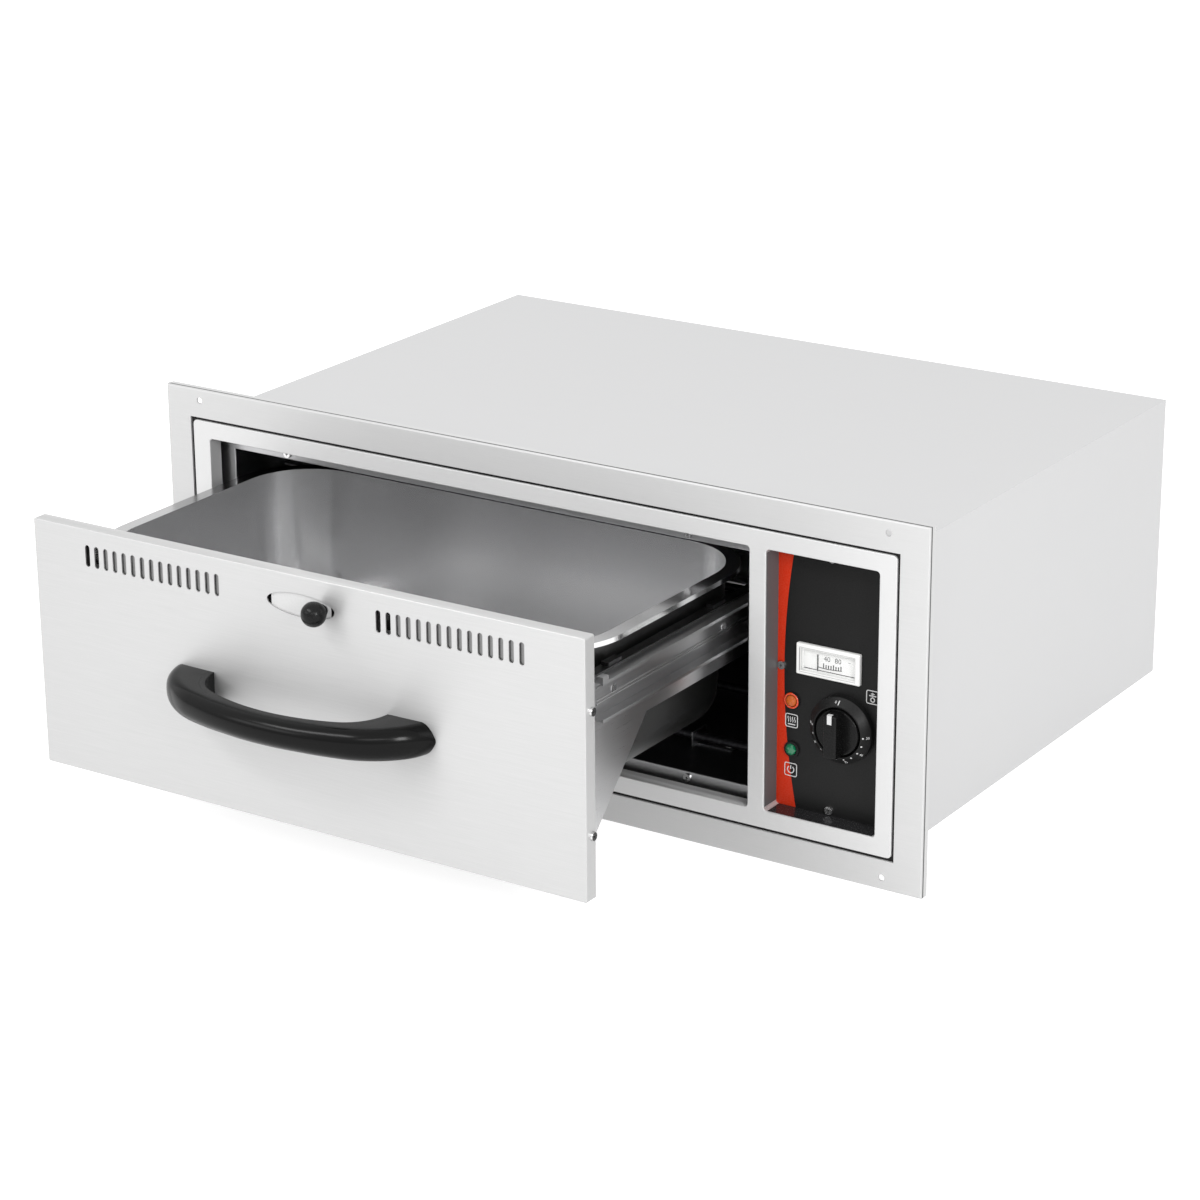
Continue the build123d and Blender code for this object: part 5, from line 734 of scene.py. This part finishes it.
def make_gauge_reveal():
    """A white funnel from the gauge's lens back to its scale plate."""
    builder = bmesh.new()
    centre_u, centre_v = GAUGE_CENTRE
    loops = []
    for half_u, half_v, depth in REVEAL_RINGS:
        outline = rectangle(centre_u - half_u, centre_u + half_u, centre_v - half_v, centre_v + half_v)
        loops.append(vertices(builder, outline, depth))
    bridge(builder, loops, True)
    new_piece("gauge_reveal", builder, "cabinet", "white_plastic")


# ---------------------------------------------------------------- dial and knob
# radius and depth of the dial's sloping ring, at its outer and its inner edge
CONE_OUT = (27.6, 14.2)
CONE_IN = (21.8, 8.8)
DIAL_PRINT_DEPTHS = (0.14, -0.1)
DIAL_DOTS = 11
DIAL_FIRST_ANGLE = 91.5
DIAL_STEP_ANGLE = 18.4
DIAL_FIRST_FIGURE = 30
DIAL_STEP_FIGURE = 8
DOT_RING = 22.7
DOT_RADIUS = 0.75
DOT_SIDES = 14
DOT_LIFT = 0.02
FIGURE_RING = 25.5
FIGURE_SIZE = 3.1
FIGURE_LIFT = 0.04
OFF_MARK_RING = 24.2
OFF_MARK_HALF = 1.9
# figure, size, angle and ring of the off position
OFF_FIGURE = ("0", 3.2, -6.5, 24.4)
MARK_X = (285.9, 289.9)
MARK_Z = (-22.2, -14.35)
MARK_Y = (-4.1, -3.7)
FOLD_Z = (-14.5, -14.3)
FOLD_Y = (-4.1, -1.0)


def cone_page(angle, radius, lift, upright=False):
    """A page on the dial's sloping ring; angle is clockwise from the top, in degrees, seen from in front."""
    turn = math.radians(angle)
    radial = Vector((math.sin(turn), 0, math.cos(turn)))
    share = (radius - CONE_IN[0]) / (CONE_OUT[0] - CONE_IN[0])
    depth = CONE_IN[1] + share * (CONE_OUT[1] - CONE_IN[1])
    centre = Vector(on_front(*KNOB_CENTRE, depth)) + radial * radius
    slope = (radial * (CONE_OUT[0] - CONE_IN[0]) + Vector((0, CONE_OUT[1] - CONE_IN[1], 0))).normalized()
    sideways = Vector((math.cos(turn), 0, -math.sin(turn)))
    out = sideways.cross(slope)
    if out.y > 0:
        out = -out
    centre += out * lift
    if upright:
        return page(centre, sideways, slope, out)
    return page(centre, slope, -sideways, out)


def make_dial_print():
    """Dots round the dial with plain numbers at every other one, and the off mark at the top."""
    builder = bmesh.new()
    dot = [polar((0, 0), DOT_RADIUS, 2 * math.pi * i / DOT_SIDES) for i in range(DOT_SIDES)]
    for index in range(DIAL_DOTS):
        angle = DIAL_FIRST_ANGLE + DIAL_STEP_ANGLE * index
        prism(builder, dot, *DIAL_PRINT_DEPTHS, on_page(cone_page(angle, DOT_RING, DOT_LIFT)))
        if index % 2 == 0:
            figure = str(DIAL_FIRST_FIGURE + DIAL_STEP_FIGURE * index)
            add_figures(builder, figure, FIGURE_SIZE, cone_page(angle, FIGURE_RING, FIGURE_LIFT))
    top = on_page(cone_page(0.0, OFF_MARK_RING, DOT_LIFT, True))
    stroke(builder, [(0, -OFF_MARK_HALF), (0, OFF_MARK_HALF)], 0.8, *DIAL_PRINT_DEPTHS, top)
    figure, size, angle, ring = OFF_FIGURE
    add_figures(builder, figure, size, cone_page(angle, ring, FIGURE_LIFT, True))
    new_piece("dial_print", builder, "cabinet", "white_plastic", "print_white")


def make_knob_mark():
    """The pointer line: a white inlay at the top end of the grip bar, folded over the end."""
    builder = bmesh.new()
    prism(builder, rectangle(*MARK_X, *MARK_Z), *MARK_Y)
    prism(builder, rectangle(*MARK_X, *FOLD_Z), *FOLD_Y)
    new_piece("knob_mark", builder, "knob", "white_plastic", "print_white")


# ---------------------------------------------------------------- gap shade, recess reflections, plate and vent shade
# half width, half height and corner radius of the gap shade's outer and inner edge
GAP_SHADE_OUTER = (344.85, 127.35, 0.6)
GAP_SHADE_INNER = (342.65, 125.15, 3.9)
GAP_SHADE_Y = (1.9, 6.0)
RECESS_Y = (1.4, 19.7)
PLATE_LEFT = 29.3
PLATE_RIGHT = 28.4
PLATE_HALF = 9.8
SHUTTER_Y = FRONT_Y + 1.8
PLATE_SHEET = 0.25
VENT_GROUPS = (("left", MOUTH_X - 144.0), ("right", MOUTH_X + 144.0))
VENT_Z = FRONT_TOP_Z - 22.6
GAUZE_HALF = (70.5, 9.4)
GAUZE_PITCH = 1.5
GAUZE_WIRE = 1.05
GAUZE_UPRIGHT_Y = (FRONT_Y + 10.7, FRONT_Y + 10.95)
GAUZE_LEVEL_Y = (FRONT_Y + 10.95, FRONT_Y + 11.2)


def make_gap_shade():
    """A black sheet that fills the gap between the trim and the face frame: painted shade in the shadow gap."""
    builder = bmesh.new()
    outer, inner = [rounded_rectangle((0, 0), edge[:2], edge[2], 6) for edge in (GAP_SHADE_OUTER, GAP_SHADE_INNER)]
    front, back = GAP_SHADE_Y
    rings = ((outer, front), (inner, front), (inner, back), (outer, back))
    bridge(builder, [vertices(builder, outline, depth) for outline, depth in rings], True)
    new_piece("face_gap_shade", builder, "cabinet", "black_plastic")


def make_recess_painted_reflections():
    """Thin sheets of painted reflection on the left cheek and the bottom of the control recess: dark grey and
    black where the walls would reflect the red stripe.
    """
    painted_reflections = (
        ("recess_painted_reflection", "painted_reflection_grey", rectangle(227.08, 227.32, -107.0, 107.0)),
        ("sill_painted_reflection", "painted_reflection_dark", rectangle(230.0, 324.5, -109.92, -109.68)),
    )
    for name, finish, outline in painted_reflections:
        builder = bmesh.new()
        prism(builder, outline, *RECESS_Y)
        new_piece(name, builder, "cabinet", "black_panel", finish)


def make_label_plate():
    """A bare plate on the shutter, seen through the long window in the drawer front."""
    builder = bmesh.new()
    u, v = WINDOW_CENTRE
    outline = rectangle(u - PLATE_LEFT, u + PLATE_RIGHT, v - PLATE_HALF, v + PLATE_HALF)
    prism(builder, outline, SHUTTER_Y - PLATE_SHEET, SHUTTER_Y)
    new_piece("shutter_label_plate", builder, "shutter", "shutter_steel", "label_white")


def make_vent_shade_gauze():
    """Black wire gauze behind the slots, in front of the back panel's vent openings: painted shade that keeps
    the light beyond the openings from showing through the slots.
    """
    half_u, half_v = GAUZE_HALF
    for side, centre_u in VENT_GROUPS:
        builder = bmesh.new()
        left, right = centre_u - half_u, centre_u + half_u
        low, high = VENT_Z - half_v, VENT_Z + half_v
        for index in range(int(2 * half_u / GAUZE_PITCH) + 1):
            u = left + GAUZE_PITCH * index
            stroke(builder, [(u, low), (u, high)], GAUZE_WIRE, *GAUZE_UPRIGHT_Y)
        for index in range(int(2 * half_v / GAUZE_PITCH) + 1):
            v = low + GAUZE_PITCH * index
            stroke(builder, [(left, v), (right, v)], GAUZE_WIRE, *GAUZE_LEVEL_Y)
        new_piece(f"vent_shade_gauze_{side}", builder, "drawer", "black_plastic")


# ---------------------------------------------------------------- slide ribs
RIB_OFFSETS = (-7.6, -4.9, 5.6)
RIB_HEIGHT = 0.9
RIB_SUNK = 0.05
RIB_STEPS = 8
RIB_END_GAP = 6.0
SLIDE_SHEET = 1.2


def make_slide_ribs():
    """Rolled stiffening ribs along the outer face of each drawer slide's web."""
    for side, name in ((-1, "left"), (1, "right")):
        low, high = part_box(f"slide_drawer_{name}")
        web = (low.x if side > 0 else high.x) / MM + side * SLIDE_SHEET
        middle = (low.z + high.z) / 2 / MM
        builder = bmesh.new()
        for offset in RIB_OFFSETS:
            section = []
            for step in range(RIB_STEPS + 1):
                turn = math.pi * step / RIB_STEPS
                section.append((web + side * (RIB_HEIGHT * math.sin(turn) - RIB_SUNK),
                                middle + offset - RIB_HEIGHT * math.cos(turn)))
            prism(builder, section, low.y / MM + RIB_END_GAP, high.y / MM - RIB_END_GAP)
        piece = new_piece(f"slide_ribs_{name}", builder, "drawer", "zinc_steel", smooth=True)
        keep_sharp(piece, 50)


# ---------------------------------------------------------------- handle
HANDLE_Z = -5.75
HANDLE_HALF = 14.25
HANDLE_WAIST = 2.0
# an arch from above: half width at the foot, knee (sideways, out), and how far the crown stands out
OUTER_ARCH = (129.5, (76.0, 48.0), 59.5)
LINER_ARCH = (89.35, (61.6, 37.5), 48.1)
HANDLE_STATIONS = 72
SECTION_STEPS = 9
ROLL_HEIGHT = 0.90
ROLL_DEPTH = 12.5
ROLL_LIMIT = 0.94
END_ROUND = 19.0
END_MARGIN = 0.6
END_POWER = 2.4


def arch_point(shape, share):
    """A point of one side of the bow, share 0 at the crown and 1 at the foot: (sideways, out from the front)."""
    half, (knee_x, knee_out), reach = shape
    centre_out = (knee_x ** 2 + knee_out ** 2 - reach ** 2) / (2 * (knee_out - reach))
    radius = reach - centre_out
    knee_turn = math.atan2(knee_x, knee_out - centre_out)
    if share <= 0.5:
        turn = knee_turn * share * 2
        return radius * math.sin(turn), centre_out + radius * math.cos(turn)
    normal = Vector((0 - knee_x, centre_out - knee_out)).normalized()
    knee = Vector((knee_x, knee_out))
    foot = Vector((half, 0.0))
    reach_back = (knee - foot).length_squared / (2 * normal.dot(foot - knee))
    centre = knee + normal * reach_back
    start = math.atan2(knee.x - centre.x, knee.y - centre.y)
    end = math.atan2(foot.x - centre.x, foot.y - centre.y)
    turn = start + (end - start) * (share - 0.5) * 2
    return centre.x + reach_back * math.sin(turn), centre.y + reach_back * math.cos(turn)


def handle_section(depth):
    """Points (depth share from the liner outwards, height share): square inside, rolled over outside."""
    roll = min(ROLL_LIMIT, ROLL_DEPTH / depth)
    flat = 1 - ROLL_HEIGHT
    turns = [math.radians(90 * step / SECTION_STEPS) for step in range(SECTION_STEPS + 1)]
    lower = [(1 - roll + roll * math.sin(turn), -flat - ROLL_HEIGHT * math.cos(turn)) for turn in turns]
    upper = [(1 - roll + roll * math.cos(turn), flat + ROLL_HEIGHT * math.sin(turn)) for turn in turns]
    return [(0.0, -1.0)] + lower + upper + [(0.0, 1.0)]


def handle_half_height(x):
    """Half the bow's height at a distance sideways: waisted at the crown, drawn in to nothing at the ends."""
    half = HANDLE_HALF - HANDLE_WAIST * (1 - (x / OUTER_ARCH[0]) ** 2)
    past = max(0.0, x - (OUTER_ARCH[0] - END_ROUND)) / (END_ROUND + END_MARGIN)
    return half * max(0.0, 1 - past ** END_POWER) ** (1 / END_POWER)


def make_handle():
    """The moulded bow: square against its liner, rolled over outside, and drawn to round ends at the feet."""
    builder = bmesh.new()
    loops = []
    for index in range(-HANDLE_STATIONS, HANDLE_STATIONS + 1):
        share = abs(index) / HANDLE_STATIONS
        sign = -1 if index < 0 else 1
        inner = arch_point(LINER_ARCH, share)
        outer = arch_point(OUTER_ARCH, share)
        depth = math.hypot(outer[0] - inner[0], outer[1] - inner[1])
        loop = []
        for out_share, height in handle_section(depth):
            x = inner[0] + (outer[0] - inner[0]) * out_share
            out = inner[1] + (outer[1] - inner[1]) * out_share
            z = HANDLE_Z + handle_half_height(x) * height
            loop.append(builder.verts.new((MOUTH_X + sign * x, FRONT_Y - out, z)))
        loops.append(loop)
    bridge(builder, loops)
    builder.faces.new(loops[0])
    builder.faces.new(loops[-1][::-1])
    piece = new_piece("handle_bow", builder, "drawer", "handle_black", smooth=True)
    keep_sharp(piece, 40)
    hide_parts("handle_grip")


# ---------------------------------------------------------------- the scene
bpy.context.scene.view_settings.view_transform = "Standard"
make_camera()
make_world()
make_floor()
for light in AREA_LIGHTS:
    area_light(*light)

materials = {name: steel(name, **finish) for name, finish in STEELS.items()}
materials.update({name: plastic(name, **finish) for name, finish in PLASTICS.items()})
materials["clear_glass"] = cover_glass("clear_glass")

slot_of = {entry["node"]: entry["material_slot"] for entry in frame["record"]["subparts"]}
for node_name, node in nodes.items():
    node.data.materials.clear()
    node.data.materials.append(materials[slot_of[node_name]])
for node_name, finish, chosen in SECOND_FINISHES:
    finish_faces(node_name, finish, chosen)

make_gap_shade()
make_recess_painted_reflections()
make_gauge_reveal()
make_label_plate()
make_vent_shade_gauze()
make_slide_ribs()
make_handle()
make_stripe()
make_pictograms()
faceted_lens("amber_lamp", AMBER_Z, "amber_lens")
faceted_lens("green_lamp", GREEN_Z, "green_lens")
make_lamp_ring()
make_gauge_print()
make_dial_print()
make_knob_mark()

bpy.context.view_layer.update()
